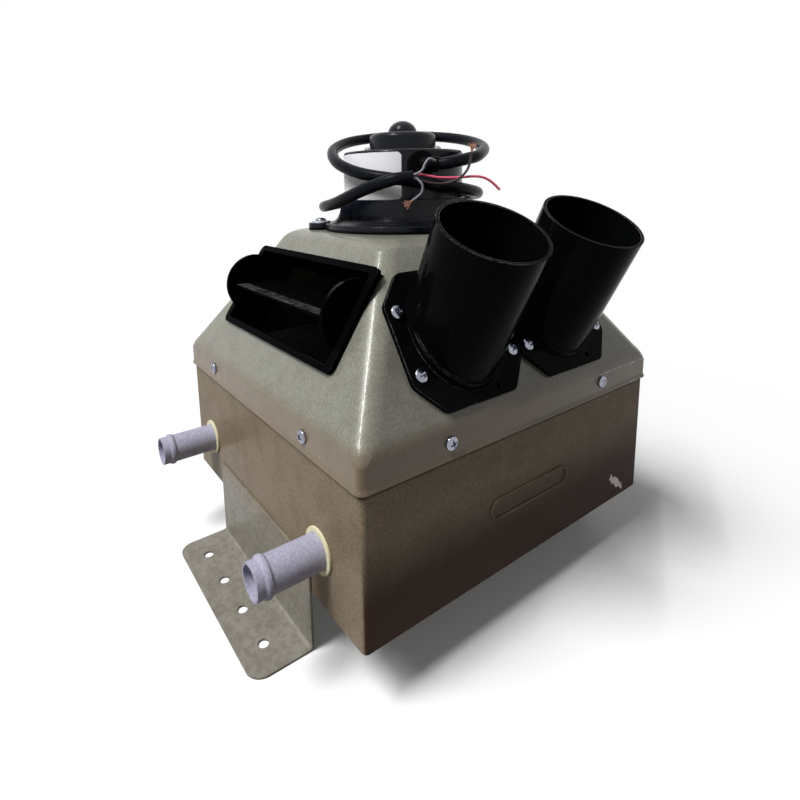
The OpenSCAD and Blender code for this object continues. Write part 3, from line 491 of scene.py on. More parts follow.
@dataclass(frozen=True)
class Paint:
    """Hammertone enamel: a fine-grained grey-brown coat, glossy, with worn and lighter edges, and with
    painted light where a finish asks for it: painted sheen, painted reflection, painted shadow, painted
    shade and painted glitter.
    """

    name: str
    light: Colour
    dark: Colour
    # The tone lower down: on the case a painted sheen, on the hood's band a painted brown reflection.
    low: Colour
    low_from: float
    low_to: float
    roughness: float = 0.36
    grain: float = 720.0
    grain_share: float = 0.42
    # Lighter specks: partly the enamel's flecks, partly painted glitter.
    fleck_and_glitter: Colour = srgb(150, 148, 138)
    fleck_and_glitter_share: float = 0.55
    blotch_scale: float = 70.0
    blotches: float = 0.25
    wear: float = 0.5
    wear_reach: float = 0.9 * MM
    # Pale colour of worn edges; on the bracket also a painted highlight along its top edge and bend.
    bare_and_highlight: Colour = srgb(224, 220, 210)
    ragged_scale: float = 420.0
    unworn_below: float = 127 * MM
    unworn_left_of: float = 70 * MM
    chipped: bool = False
    chip: Colour = srgb(255, 246, 242)
    creased: bool = False
    # Painted shadow: a dark band on the case just below the hood's lip, where the lip's shade falls.
    lip: float = 0.0
    lip_shadow_fade: tuple[float, float] = (3.4 * MM, 1.4 * MM)
    lip_shadow_share: float = 0.85
    painted_lip_shadow: Colour = srgb(22, 18, 14)
    coat: float = 0.35
    coat_roughness: float = 0.12
    specular: float = 0.1
    metallic: float = 0.08
    relief: float = 0.3 * MM
    relief_share: float = 0.35
    coat_relief_share: float = 0.2
    # Painted shade: what faces the front is darkened towards the bottom, as painted shadow and painted
    # dark reflection of the floor.
    painted_front_shade: float = 0.0
    painted_front_shade_colour: Colour = srgb(52, 25, 11)
    painted_front_shade_from: float = 104 * MM
    painted_front_shade_to: float = 60 * MM

    def build(self) -> bpy.types.Material:
        """Makes the material.

        Returns:
            The material.
        """
        graph = Graph(self.name)
        fine = graph.noise(self.grain, 2.5, 0.6)
        small = graph.noise(self.grain * 2.6, 2.0, 0.6)
        broad = graph.noise(self.blotch_scale, 4.0, 0.6)
        place = graph.axes(graph.coords())
        colour = self.ground(graph, place["Z"], fine, broad)
        # Lighter specks, partly the enamel's flecks and partly painted glitter.
        flecks_and_glitter = graph.times(graph.ramp(small, 0.62, 0.7), self.fleck_and_glitter_share)
        colour = graph.mix(flecks_and_glitter, colour, self.fleck_and_glitter)
        # Painted shade and painted dark reflection low on what faces the front.
        if self.painted_front_shade:
            colour = self.paint_front_shade(graph, place["Z"], colour)
        # Painted shadow under the hood's lip.
        if self.lip:
            far, near = self.lip_shadow_fade
            lip_shadow = graph.ramp(place["Z"], self.lip - far, self.lip - near)
            colour = graph.mix(graph.times(lip_shadow, self.lip_shadow_share), colour, self.painted_lip_shadow)
        # Worn pale edges; on the bracket partly a painted highlight.
        colour = graph.mix(self.worn(graph, place), colour, self.bare_and_highlight)
        if self.chipped:
            colour = graph.mix(Chip().share(graph, place), colour, self.chip)
        shader = graph.node("ShaderNodeBsdfPrincipled")
        graph.link(colour, shader.inputs["Base Color"])
        shader.inputs["Metallic"].default_value = self.metallic
        shader.inputs["Specular IOR Level"].default_value = self.specular
        graph.link(graph.uneven(broad, 0.2, self.roughness), shader.inputs["Roughness"])
        shader.inputs["Coat Weight"].default_value = self.coat
        shader.inputs["Coat Roughness"].default_value = self.coat_roughness
        rise = graph.math("ADD", graph.times(fine, 0.75), graph.times(small, 0.25))
        for share, target in ((self.relief_share, "Normal"), (self.coat_relief_share, "Coat Normal")):
            graph.link(graph.bump(rise, self.relief, share), shader.inputs[target])
        graph.surface(shader.outputs[0])
        return graph.material

    def ground(self, graph: Graph, height: Socket, fine: Socket, broad: Socket) -> Socket:
        """Mixes the two tones of the enamel with the tone lower down, which on the case is a painted
        sheen and on the hood's band a painted brown reflection.

        Args:
            graph: The graph to build it in.
            height: Height above the floor.
            fine: Noise of the grain.
            broad: Noise of the blotches.

        Returns:
            The colour.
        """
        # Lower tone: painted sheen on the case, painted brown reflection on the hood's band.
        light = graph.mix(graph.ramp(height, self.low_from, self.low_to), self.light, self.low)
        grained = graph.times(graph.ramp(fine, 0.42, 0.62), self.grain_share)
        blotched = graph.times(graph.ramp(broad, 0.42, 0.68), self.blotches)
        return graph.mix(blotched, graph.mix(grained, light, self.dark), self.dark)

    def paint_front_shade(self, graph: Graph, height: Socket, colour: Socket) -> Socket:
        """Paints shade into the lower part of what faces the front: a painted shadow and a painted dark
        reflection of the floor.

        Args:
            graph: The graph to build it in.
            height: Height above the floor.
            colour: The colour so far.

        Returns:
            The darkened colour.
        """
        facing = graph.axes(graph.node("ShaderNodeNewGeometry").outputs["Normal"])
        front = graph.ramp(facing["Y"], -0.4, -0.8)
        lower_shade = graph.ramp(height, self.painted_front_shade_from, self.painted_front_shade_to)
        return graph.mix(graph.times(front, lower_shade, self.painted_front_shade), colour, self.painted_front_shade_colour)

    def worn(self, graph: Graph, place: Sockets) -> Socket:
        """Finds edges that are worn to a pale line, but for the near edges of the case. On the bracket
        the pale lines along its top edge and bend are partly a painted highlight.

        Args:
            graph: The graph to build it in.
            place: Coordinates by axis.

        Returns:
            The share of wear, and on the bracket of painted highlight, 0 to 1.
        """
        edge = graph.ramp(graph.edges(self.wear_reach), 0.02, 0.14)
        ragged = graph.ramp(graph.noise(self.ragged_scale, 4.0, 0.75), 0.46, 0.58)
        worn = graph.times(edge, ragged, self.wear)
        low = graph.math("LESS_THAN", place["Z"], self.unworn_below)
        left = graph.math("LESS_THAN", place["X"], self.unworn_left_of)
        away = graph.math("SUBTRACT", 1.0, graph.times(low, left))
        worn = graph.times(worn, away)
        if self.creased:
            worn = graph.math("MAXIMUM", worn, Crease().share(graph, place, ragged))
        return worn


@dataclass(frozen=True)
class Crease:
    """The worn lines along the band's bend and lip, on the right of the front."""

    bend_z: float = 138.4 * MM
    half: float = 0.75 * MM
    core: float = 0.35 * MM
    sway: float = 1.2 * MM
    lip_top: float = 125.6 * MM
    lip_worn: float = 124.9 * MM
    lip_reach: tuple[float, float] = (95 * MM, 112 * MM)
    reach: tuple[float, float] = (40 * MM, 95 * MM)
    front_y: float = -100 * MM

    def share(self, graph: Graph, place: Sockets, ragged: Socket) -> Socket:
        """Finds the lines.

        Args:
            graph: The graph to build it in.
            place: Coordinates by axis.
            ragged: Breaks the lines up.

        Returns:
            1 on a line, 0 elsewhere.
        """
        wave = graph.math("SUBTRACT", graph.noise(60.0, 2.0), 0.5)
        wave = graph.times(wave, self.sway)
        off = graph.math("ADD", graph.math("SUBTRACT", place["Z"], self.bend_z), wave)
        line = graph.ramp(graph.math("ABSOLUTE", off), self.half, self.core)
        rim = graph.ramp(place["Z"], self.lip_top, self.lip_worn)
        far = graph.ramp(place["X"], *self.lip_reach)
        line = graph.math("MAXIMUM", line, graph.times(rim, far))
        right = graph.ramp(place["X"], *self.reach)
        front = graph.math("LESS_THAN", place["Y"], self.front_y)
        return graph.times(line, ragged, right, front)


@dataclass(frozen=True)
class Chip:
    """The small chip of missing paint low on the front face."""

    lean: float = 0.75
    level: float = 122.5 * MM
    x: float = 97 * MM
    half_w: float = 2.8 * MM
    half_l: float = 8 * MM
    sway: float = 9 * MM
    front_y: float = -121 * MM

    def share(self, graph: Graph, place: Sockets) -> Socket:
        """Finds the chip.

        Args:
            graph: The graph to build it in.
            place: Coordinates by axis.

        Returns:
            1 inside the chip, 0 elsewhere.
        """
        slant = graph.math("ADD", place["Z"], graph.times(place["X"], self.lean))
        wobble = graph.math("SUBTRACT", graph.noise(240.0, 4.0, 0.7), 0.5)
        wobble = graph.times(wobble, self.sway)
        off = graph.math("ADD", graph.math("SUBTRACT", slant, self.level), wobble)
        across = graph.math("LESS_THAN", graph.math("ABSOLUTE", off), self.half_w)
        off = graph.math("ADD", graph.math("SUBTRACT", place["X"], self.x), wobble)
        along = graph.math("LESS_THAN", graph.math("ABSOLUTE", off), self.half_l)
        front = graph.math("LESS_THAN", place["Y"], self.front_y)
        return graph.times(across, along, front)


@dataclass(frozen=True)
class Plain:
    """A finish of one colour with a little unevenness, and scuffed edges if asked, which are partly
    painted highlights.
    """

    name: str
    colour: Colour
    roughness: float
    metallic: float = 0.0
    mottle: float = 0.15
    mottle_scale: float = 160.0
    grain: float = 0.0
    grain_scale: float = 900.0
    # Pale edge colour: partly rubbed wear, partly painted highlight along rims.
    scuff_and_glint: Colour = (0.2, 0.2, 0.2)
    scuff_and_glint_share: float = 0.0
    scuff_reach: float = 0.8 * MM
    ragged_scale: float = 420.0
    patches: float = 0.0
    dust: float = 0.0
    dust_colour: Colour = srgb(150, 146, 140)
    dust_before: float = 0.0
    dust_scale: float = 120.0
    specular: float = 0.5

    def build(self) -> bpy.types.Material:
        """Makes the material.

        Returns:
            The material.
        """
        graph = Graph(self.name)
        shader = graph.node("ShaderNodeBsdfPrincipled")
        cloud = graph.noise(self.mottle_scale, 4.0, 0.6)
        dark = tuple(c * (1 - self.mottle) for c in self.colour)
        light = tuple(min(1.0, c * (1 + self.mottle)) for c in self.colour)
        colour = graph.mix(graph.ramp(cloud, 0.3, 0.7), dark, light)
        # Pale edges: partly rubbed wear, partly painted highlights along rims.
        if self.scuff_and_glint_share:
            colour = graph.mix(self.scuffs_and_glints(graph), colour, self.scuff_and_glint)
        if self.dust:
            colour = graph.mix(self.dusty(graph), colour, self.dust_colour)
        graph.link(colour, shader.inputs["Base Color"])
        shader.inputs["Metallic"].default_value = self.metallic
        shader.inputs["Specular IOR Level"].default_value = self.specular
        graph.link(graph.uneven(cloud, 0.25, self.roughness), shader.inputs["Roughness"])
        if self.grain:
            height = graph.noise(self.grain_scale, 3.0, 0.6)
            graph.link(graph.bump(height, self.grain * MM, 0.6), shader.inputs["Normal"])
        graph.surface(shader.outputs[0])
        return graph.material

    def scuffs_and_glints(self, graph: Graph) -> Socket:
        """Finds rubbed edges, in patches where the finish asks for them; the pale edge lines are partly
        wear and partly painted highlights along rims.

        Args:
            graph: The graph to build it in.

        Returns:
            The share of the pale edge colour, wear and painted highlight.
        """
        edge = graph.ramp(graph.edges(self.scuff_reach), 0.03, 0.2)
        ragged = graph.ramp(graph.noise(self.ragged_scale, 4.0, 0.7), 0.36, 0.6)
        share = graph.times(edge, ragged, self.scuff_and_glint_share)
        if self.patches:
            return graph.times(share, graph.ramp(graph.noise(self.patches, 2.0), 0.42, 0.62))
        return share

    def dusty(self, graph: Graph) -> Socket:
        """Finds where dust lies: on what faces up, and on one side of a line if asked.

        Args:
            graph: The graph to build it in.

        Returns:
            The share of the dust's colour.
        """
        facing = graph.axes(graph.node("ShaderNodeNewGeometry").outputs["Normal"])
        lying = graph.ramp(facing["Z"], 0.55, 0.95)
        if self.dust_before:
            place = graph.axes(graph.coords())
            strip = graph.ramp(place["X"], self.dust_before + 1.5 * MM, self.dust_before)
            lying = graph.times(lying, strip)
        patchy = graph.ramp(graph.noise(self.dust_scale, 5.0, 0.7), 0.3, 0.75)
        return graph.times(lying, patchy, self.dust)


class Finish(Enum):
    """The finishes of the heater."""

    # The case's browner tones and the hood's greyer tones stand for one enamel; the difference between
    # them is painted reflection.
    CASE = Paint(
        # Case: the lighter, greyer tone lower down is a painted sheen.
        "case_paint", srgb(132, 117, 97), srgb(88, 73, 56), srgb(134, 121, 104), 118 * MM, 40 * MM,
        # The case's front carries strong painted shade towards the bottom.
        wear=0.4, chipped=True, lip=124 * MM, coat=0.1, specular=0.01, painted_front_shade=0.93,
    )
    HOOD = Paint(
        # Hood: the browner tone on the band is a painted reflection.
        "hood_paint", srgb(128, 128, 117), srgb(92, 90, 80), srgb(122, 103, 80), 150 * MM, 136 * MM,
        blotches=0.28, wear=0.7, creased=True, specular=0.2,
        # The hood's front carries a little painted shade towards the band.
        painted_front_shade=0.24, painted_front_shade_from=230 * MM, painted_front_shade_to=150 * MM,
    )
    BRACKET = Paint(
        "bracket_paint", srgb(133, 119, 101), srgb(102, 97, 87), srgb(136, 132, 123), 76 * MM, 36 * MM,
        # Bracket: the strong edge wear also stands for painted highlights along its top edge and bend.
        roughness=0.45, grain=260.0, blotches=0.3, wear=0.85, coat=0.1, specular=0.06,
    )
    PAN = Plain("galvanised_sheet", srgb(150, 150, 146), 0.45, 0.8, grain=0.05, grain_scale=260.0)
    CORE = Plain("core_metal", srgb(168, 160, 138), 0.5, 0.7, mottle=0.2)
    FINS = Plain("fin_metal", srgb(176, 170, 152), 0.42, 0.8, mottle=0.1)
    PIPE = Plain(
        "pipe_metal", srgb(164, 162, 181), 0.6, mottle=0.14, mottle_scale=640.0, grain=0.22,
        grain_scale=1300.0, specular=0.02,
    )
    SEAL = Plain("cream_rubber", srgb(216, 211, 178), 0.6, mottle=0.05, specular=0.3)
    FOAM = Plain(
        "black_foam", srgb(30, 30, 30), 0.95, mottle=0.2, grain=0.5, grain_scale=700.0, specular=0.1,
    )
    SCREW = Plain("zinc_screw", srgb(146, 149, 161), 0.2, 1.0, mottle=0.2, mottle_scale=700.0)
    WASHER = Plain("zinc_washer", srgb(205, 208, 216), 0.45, 0.45, mottle=0.15, mottle_scale=700.0)
    SPIGOT = Plain(
        "gloss_black_plastic", srgb(7, 8, 9), 0.13, mottle=0.2, grain=0.015, grain_scale=500.0,
        # Spigot rims: the pale edge dashes are partly painted highlights.
        scuff_and_glint=srgb(160, 160, 158), scuff_and_glint_share=0.8, patches=32.0, specular=0.015,
    )
    OUTLET = Plain(
        # Outlet frame: the pale edge lines stand partly for painted highlights.
        "outlet_black_plastic", srgb(5, 6, 7), 0.24, mottle=0.2, grain=0.015, scuff_and_glint=srgb(76, 84, 90),
        scuff_and_glint_share=0.4, patches=24.0, specular=0.004,
    )
    VANE = Plain(
        "vane_plastic", srgb(4, 4, 5), 0.5, mottle=0.2, dust=0.2, dust_before=-98.5 * MM,
        specular=0.002,
    )
    MOTOR = Plain(
        # Near-black; its blue cast is a painted bluish reflection.
        "motor_black", srgb(8, 12, 20), 0.28, mottle=0.25, grain=0.03, grain_scale=700.0,
        # Motor: the pale bluish edges are partly painted highlights.
        scuff_and_glint=srgb(66, 68, 76), scuff_and_glint_share=0.35, dust=0.05, specular=0.2,
    )
    RUBBER = Plain("black_rubber", srgb(7, 8, 9), 0.45, mottle=0.15, specular=0.03)
    LABEL = Plain("blank_label", srgb(246, 246, 250), 0.4, mottle=0.02, mottle_scale=60.0, specular=0.3)
    STEEL = Plain("plain_steel", srgb(150, 150, 152), 0.34, 1.0, mottle=0.1)
    MAGNET = Plain("magnet", srgb(66, 66, 68), 0.6, 0.4)
    BRONZE = Plain("bronze", srgb(176, 138, 86), 0.4, 0.9)
    COPPER = Plain("copper", srgb(186, 104, 74), 0.36, 0.9, mottle=0.1)
    STRAND = Plain("strand_copper", srgb(190, 134, 114), 0.4, 0.4, mottle=0.3, mottle_scale=900.0)
    BOARD = Plain("holder_board", srgb(96, 66, 40), 0.6)
    CARBON = Plain("carbon", srgb(40, 40, 41), 0.6)
    WHEEL = Plain("wheel_plastic", srgb(30, 30, 31), 0.5, mottle=0.12, specular=0.2)
    SLEEVE = Plain(
        # Near-black; its blue cast is a painted bluish reflection.
        "lead_sleeve", srgb(11, 14, 21), 0.3, mottle=0.2, grain=0.05, grain_scale=420.0, specular=0.07,
    )
    GREY_WIRE = Plain("grey_insulation", srgb(136, 137, 146), 0.4, mottle=0.12, specular=0.3)
    DARK_WIRE = Plain("dark_insulation", srgb(52, 40, 42), 0.4, mottle=0.12, specular=0.3)
    RED_WIRE = Plain("red_insulation", srgb(226, 98, 124), 0.4, mottle=0.1, specular=0.3)

    def material(self) -> bpy.types.Material:
        """Gives the finish's material, made once.

        Returns:
            The material.
        """
        made = bpy.data.materials.get(LOOK + self.value.name)
        return made if made else self.value.build()


# Mesh helpers


def new_object(name: str, mesh: bpy.types.Mesh, finish: Finish, smooth: float) -> bpy.types.Object:
    """Puts a mesh into the scene as a finished piece.

    Args:
        name: The piece's name.
        mesh: Its mesh, in the row frame.
        finish: What it is made of.
        smooth: Edges sharper than this, in degrees, stay hard.

    Returns:
        The object.
    """
    mesh.materials.clear()
    mesh.materials.append(finish.material())
    for face in mesh.polygons:
        face.use_smooth = True
        face.material_index = 0
    mesh.set_sharp_from_angle(angle=math.radians(smooth))
    return put(name, mesh)


def mesh_from(
    name: str, points: Sequence[Sequence[float]], faces: Sequence[Sequence[int]]
) -> bpy.types.Mesh:
    """Builds a mesh from points and faces.

    Args:
        name: Its name.
        points: Corners.
        faces: Lists of corner numbers.

    Returns:
        The mesh.
    """
    mesh = bpy.data.meshes.new(name)
    mesh.from_pydata([tuple(p) for p in points], [], [tuple(f) for f in faces])
    mesh.validate()
    mesh.update()
    return mesh


def lofted(name: str, rows: Sequence[Sequence[Sequence[float]]]) -> bpy.types.Mesh:
    """Skins closed rows of points, and closes both ends with a face.

    Args:
        name: The mesh's name.
        rows: Rows of equally many points.

    Returns:
        The mesh.
    """
    count = len(rows[0])
    points = [p for row in rows for p in row]
    faces: list[list[int]] = []
    for i in range(len(rows) - 1):
        for j in range(count):
            k = (j + 1) % count
            here, above = i * count, (i + 1) * count
            faces.append([here + j, here + k, above + k, above + j])
    faces.append(list(range(count))[::-1])
    faces.append([(len(rows) - 1) * count + j for j in range(count)])
    mesh = mesh_from(name, points, faces)
    outward(mesh)
    return mesh


def turned(name: str, profile: Sequence[tuple[float, float]], sides: int) -> bpy.types.Mesh:
    """Turns a closed profile round the Z axis.

    Args:
        name: The mesh's name.
        profile: Points (radius, height) of the closed outline.
        sides: Steps round the axis.

    Returns:
        The mesh.
    """
    count = len(profile)
    points: list[Point] = []
    faces: list[list[int]] = []
    for i in range(sides):
        angle = math.radians(360 * i / sides)
        points += [(r * math.cos(angle), r * math.sin(angle), z) for r, z in profile]
        a, b = i * count, ((i + 1) % sides) * count
        for j in range(count):
            k = (j + 1) % count
            faces.append([a + j, b + j, b + k, a + k])
    mesh = mesh_from(name, points, faces)
    work = bmesh.new()
    work.from_mesh(mesh)
    bmesh.ops.remove_doubles(work, verts=work.verts, dist=1e-6)
    bmesh.ops.dissolve_degenerate(work, edges=work.edges, dist=1e-6)
    bmesh.ops.recalc_face_normals(work, faces=work.faces)
    work.to_mesh(mesh)
    work.free()
    return mesh


def rod(name: str, radius: float, low: float, high: float, sides: int) -> bpy.types.Mesh:
    """Makes a round rod about the Z axis.

    Args:
        name: The mesh's name.
        radius: Its radius.
        low: Height of its foot.
        high: Height of its head.
        sides: Steps round the axis.

    Returns:
        The mesh.
    """
    return turned(name, [(0, low), (radius, low), (radius, high), (0, high)], sides)


def cube(name: str) -> bpy.types.Mesh:
    """Makes a cube of unit size about the origin."""
    work = bmesh.new()
    bmesh.ops.create_cube(work, size=1.0)
    mesh = bpy.data.meshes.new(name)
    work.to_mesh(mesh)
    work.free()
    return mesh


def outward(mesh: bpy.types.Mesh) -> None:
    """Turns a closed mesh's faces outward.

    Args:
        mesh: The mesh to mend.
    """
    work = bmesh.new()
    work.from_mesh(mesh)
    bmesh.ops.recalc_face_normals(work, faces=work.faces)
    work.to_mesh(mesh)
    work.free()


def evaluated(obj: bpy.types.Object) -> bpy.types.Mesh:
    """Gives an object's mesh with its modifiers applied, and removes the object.

    Args:
        obj: The object.

    Returns:
        The plain mesh.
    """
    graph = bpy.context.evaluated_depsgraph_get()
    mesh = bpy.data.meshes.new_from_object(obj.evaluated_get(graph), depsgraph=graph)
    bpy.data.objects.remove(obj)
    return mesh


def cut(obj: bpy.types.Object, tools: Iterable[bpy.types.Mesh]) -> bpy.types.Mesh:
    """Cuts tools out of an object.

    Args:
        obj: The object, which is used up.
        tools: The tools' meshes.

    Returns:
        The result.
    """
    helpers = [put(f"cutter_{number}", tool) for number, tool in enumerate(tools)]
    for helper in helpers:
        change = obj.modifiers.new("cut", "BOOLEAN")
        change.operation = "DIFFERENCE"
        change.solver = "EXACT"
        change.object = helper
    mesh = evaluated(obj)
    for helper in helpers:
        bpy.data.objects.remove(helper)
    return mesh


def bevelled(mesh: bpy.types.Mesh, width: float, angle: float) -> bpy.types.Mesh:
    """Takes off a mesh's sharp edges.

    Args:
        mesh: The mesh.
        width: Width of the bevel.
        angle: Edges sharper than this, in degrees, are taken off.

    Returns:
        The changed mesh.
    """
    holder = put("holder", mesh)
    change = holder.modifiers.new("bevel", "BEVEL")
    change.width = width
    change.segments = 1
    change.limit_method = "ANGLE"
    change.angle_limit = math.radians(angle)
    return evaluated(holder)


def curve_through(points: Sequence[Sequence[float]], steps: int) -> list[Vector]:
    """Runs a smooth curve through given points.

    Args:
        points: The points.
        steps: Steps between neighbours.

    Returns:
        Points of the curve.
    """
    p = [Vector(q) for q in points]
    p = [2 * p[0] - p[1], *p, 2 * p[-1] - p[-2]]
    out = []
    for i in range(1, len(p) - 2):
        a, b, c, d = p[i - 1 : i + 3]
        for j in range(steps):
            t = j / steps
            second = (2 * a - 5 * b + 4 * c - d) * t**2
            third = (3 * b - a - 3 * c + d) * t**3
            out.append(0.5 * (2 * b + (c - a) * t + second + third))
    out.append(p[-2])
    return out


def swept(
    name: str, path: Sequence[Vector], radius: Callable[[float], float], sides: int
) -> bpy.types.Mesh:
    """Sweeps a round tube along a path.

    Args:
        name: The mesh's name.
        path: Points of the path.
        radius: Gives the radius at a share of the way, 0 to 1.
        sides: Corners of each ring.

    Returns:
        The mesh.
    """
    rows = []
    side: Optional[Vector] = None
    last = len(path) - 1
    for i, here in enumerate(path):
        ahead = (path[min(i + 1, last)] - path[max(i - 1, 0)]).normalized()
        side = Vector((0.3, 0.2, 1.0)) if side is None else side
        side = (side - ahead * side.dot(ahead)).normalized()
        other = ahead.cross(side)
        r = radius(i / last)
        turns = [2 * math.pi * j / sides for j in range(sides)]
        rows.append([here + r * (math.cos(q) * side + math.sin(q) * other) for q in turns])
    return lofted(name, rows)


# Shared places


@dataclass(frozen=True)
class Sizes:
    """Sizes that several pieces share, in metres and degrees."""

    band_x: float = 126.4 * MM
    band_y: float = 123.4 * MM
    z_lip: float = 124.0 * MM
    z_crease: float = 143.0 * MM
    z_top: float = 234.0 * MM
    slope: float = 33.4
    sheet: float = 1.2 * MM
    spigot_off: float = 42.8 * MM
    spigot_up: float = 46.3 * MM
    spigot_tilt: float = -28.4
    spigot_lean: float = -4.0
    plate_t: float = 3.0 * MM
    outlet_up: float = 59.4 * MM
    can_z: float = 239.0 * MM
    can_r: float = 43.0 * MM
    can_h: float = 50.0 * MM

    def on_front(self, up: float) -> Matrix:
        """Gives the frame of the front slope, its third axis square to the slope.

        Args:
            up: Distance up the slope.

        Returns:
            The matrix.
        """
        foot = moved(0, -self.band_y, self.z_crease)
        return foot @ spun(90 - self.slope, "X") @ moved(0, up, 0)

    def on_left(self, up: float) -> Matrix:
        """Gives the frame of the left slope.

        Args:
            up: Distance up the slope.

        Returns:
            The matrix.
        """
        foot = spun(-90, "Z") @ moved(0, -self.band_x, self.z_crease)
        return foot @ spun(90 - self.slope, "X") @ moved(0, up, 0)

    def spigot_axis(self, side: int) -> Matrix:
        """Gives the frame of a spigot, its third axis along the tube.

        Args:
            side: -1 for the left spigot, 1 for the right.

        Returns:
            The matrix.
        """
        foot = self.on_front(self.spigot_up) @ moved(side * self.spigot_off, 0, 0)
        return foot @ spun(self.spigot_tilt, "X") @ spun(self.spigot_lean, "Y")


SIZES = Sizes()


# Hood


@dataclass
class Hood:
    """The drawn hood: a band, four slopes that round into each other, and a flat top."""

    foot_r: float = 12.0 * MM
    head_r: float = 14.0 * MM
    fillet: float = 14.0 * MM
    bend: float = 18.0 * MM
    flare: float = 0.8 * MM
    band_r: float = 4.4 * MM
    roll: Sequence[tuple[float, float]] = (
        (0.45, 0.0), (0.8, 0.25), (0.85, 0.7), (0.62, 1.4), (0.3, 2.2), (0.08, 3.0),
    )
    flare_h: float = 4.0 * MM
    slope_steps: Sequence[float] = (0.2, 0.4, 0.6, 0.8)
    bend_steps: int = 10
    bend_ease: float = 0.8
    fillet_growth: float = 0.4
    corner_steps: int = 18
    under_lip: float = 4.0 * MM
    motor_cut: float = 10.0 * MM
    spigot_cut: float = 30.0 * MM
    motor_hole_r: float = 56.0 * MM
    spigot_hole_r: float = 28.0 * MM
    window: Point = (146.8 * MM, 60.9 * MM, 24 * MM)

    def ring(self, a: float, b: float, r: float, z: float) -> list[Point]:
        """Gives one rounded rectangle.

        Args:
            a: Half length along X.
            b: Half length along Y.
            r: Corner radius.
            z: Height.

        Returns:
            Its points.
        """
        out = []
        for c, (sx, sy) in enumerate(((1, 1), (-1, 1), (-1, -1), (1, -1))):
            for j in range(self.corner_steps + 1):
                q = math.radians(90 * (c + j / self.corner_steps))
                out.append((sx * (a - r) + r * math.cos(q), sy * (b - r) + r * math.sin(q), z))
        return out

    def skin(self, t: float, low: float) -> list[list[Point]]:
        """Gives the rings of one side of the sheet.

        Args:
            t: Depth below the outer side.
            low: How far the skin runs below the lip.

        Returns:
            The rings, from the lip to the top.
        """
        a, b, top = SIZES.band_x - t, SIZES.band_y - t, SIZES.z_top - t
        foot, head, band = self.foot_r - t, self.head_r - t, self.band_r - t
        bend, fillet = self.bend - t, self.fillet - t
        lean = math.radians(SIZES.slope)
        rise = top - SIZES.z_crease
        inset = rise * math.tan(lean)
        touch = fillet * math.tan((math.pi / 2 - lean) / 2)
        start = SIZES.z_crease - bend * math.tan(lean / 2)
        rows: list[list[Point]] = []

        def add(out: float, corner: float, z: float) -> None:
            """Adds a ring so far out from the band."""
            rows.append(self.ring(a + out, b + out, corner, z))

        if t == 0:
            for out, up in self.roll:
                add(out * MM, band + out * MM, SIZES.z_lip + up * MM)
        else:
            add(self.flare, band + self.flare, SIZES.z_lip - low)
            add(self.flare, band + self.flare, SIZES.z_lip)
        add(0.0, band, SIZES.z_lip + self.flare_h)
        for i in range(self.bend_steps + 1):
            q = lean * i / self.bend_steps
            corner = band + (foot - band) * (i / self.bend_steps) ** self.bend_ease
            add(-bend * (1 - math.cos(q)), corner, start + bend * math.sin(q))
        low_share = (start + bend * math.sin(lean) - SIZES.z_crease) / rise
        for step in self.slope_steps:
            share = low_share + (1 - low_share) * step
            add(-share * inset, foot + (head - foot) * step, SIZES.z_crease + share * rise)
        for i in range(self.bend_steps + 1):
            q = lean + (math.pi / 2 - lean) * i / self.bend_steps
            back = inset + touch - fillet * math.cos(q)
            corner = head + (back - inset) * self.fillet_growth
            add(-back, corner, top - fillet + fillet * math.sin(q))
        return rows

    def tools(self) -> list[bpy.types.Mesh]:
        """Makes what is cut out of the hood: its inside and its openings.

        Returns:
            The meshes.
        """
        hole = rod("motor_hole", self.motor_hole_r, 0, 2 * self.motor_cut, 96)
        hole.transform(moved(0, 0, SIZES.z_top - self.motor_cut))
        tools = [lofted("hood_inner", self.skin(SIZES.sheet, self.under_lip)), hole]
        for side in (-1, 1):
            bore = rod("bore", self.spigot_hole_r, -self.spigot_cut, self.spigot_cut, 72)
            bore.transform(SIZES.spigot_axis(side))
            tools.append(bore)
        window = cube("window")
        window.transform(SIZES.on_left(SIZES.outlet_up) @ Matrix.Diagonal((*self.window, 1)))
        tools.append(window)
        return tools

    def build(self) -> bpy.types.Object:
        """Makes the hood with its openings.

        Returns:
            The hood.
        """
        outer = put("hood_outer", lofted("hood", self.skin(0.0, 0.0)))
        made = new_object("hood_shell", cut(outer, self.tools()), Finish.HOOD, smooth=40.0)
        weigh(made)
        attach(made, "heater")
        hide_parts("hood")
        return made


def weigh(obj: bpy.types.Object) -> None:
    """Lets large flat faces keep their direction where they meet small ones.

    Args:
        obj: The piece.
    """
    change = obj.modifiers.new("flat_faces", "WEIGHTED_NORMAL")
    change.keep_sharp = True
    change.weight = 80


# Screws


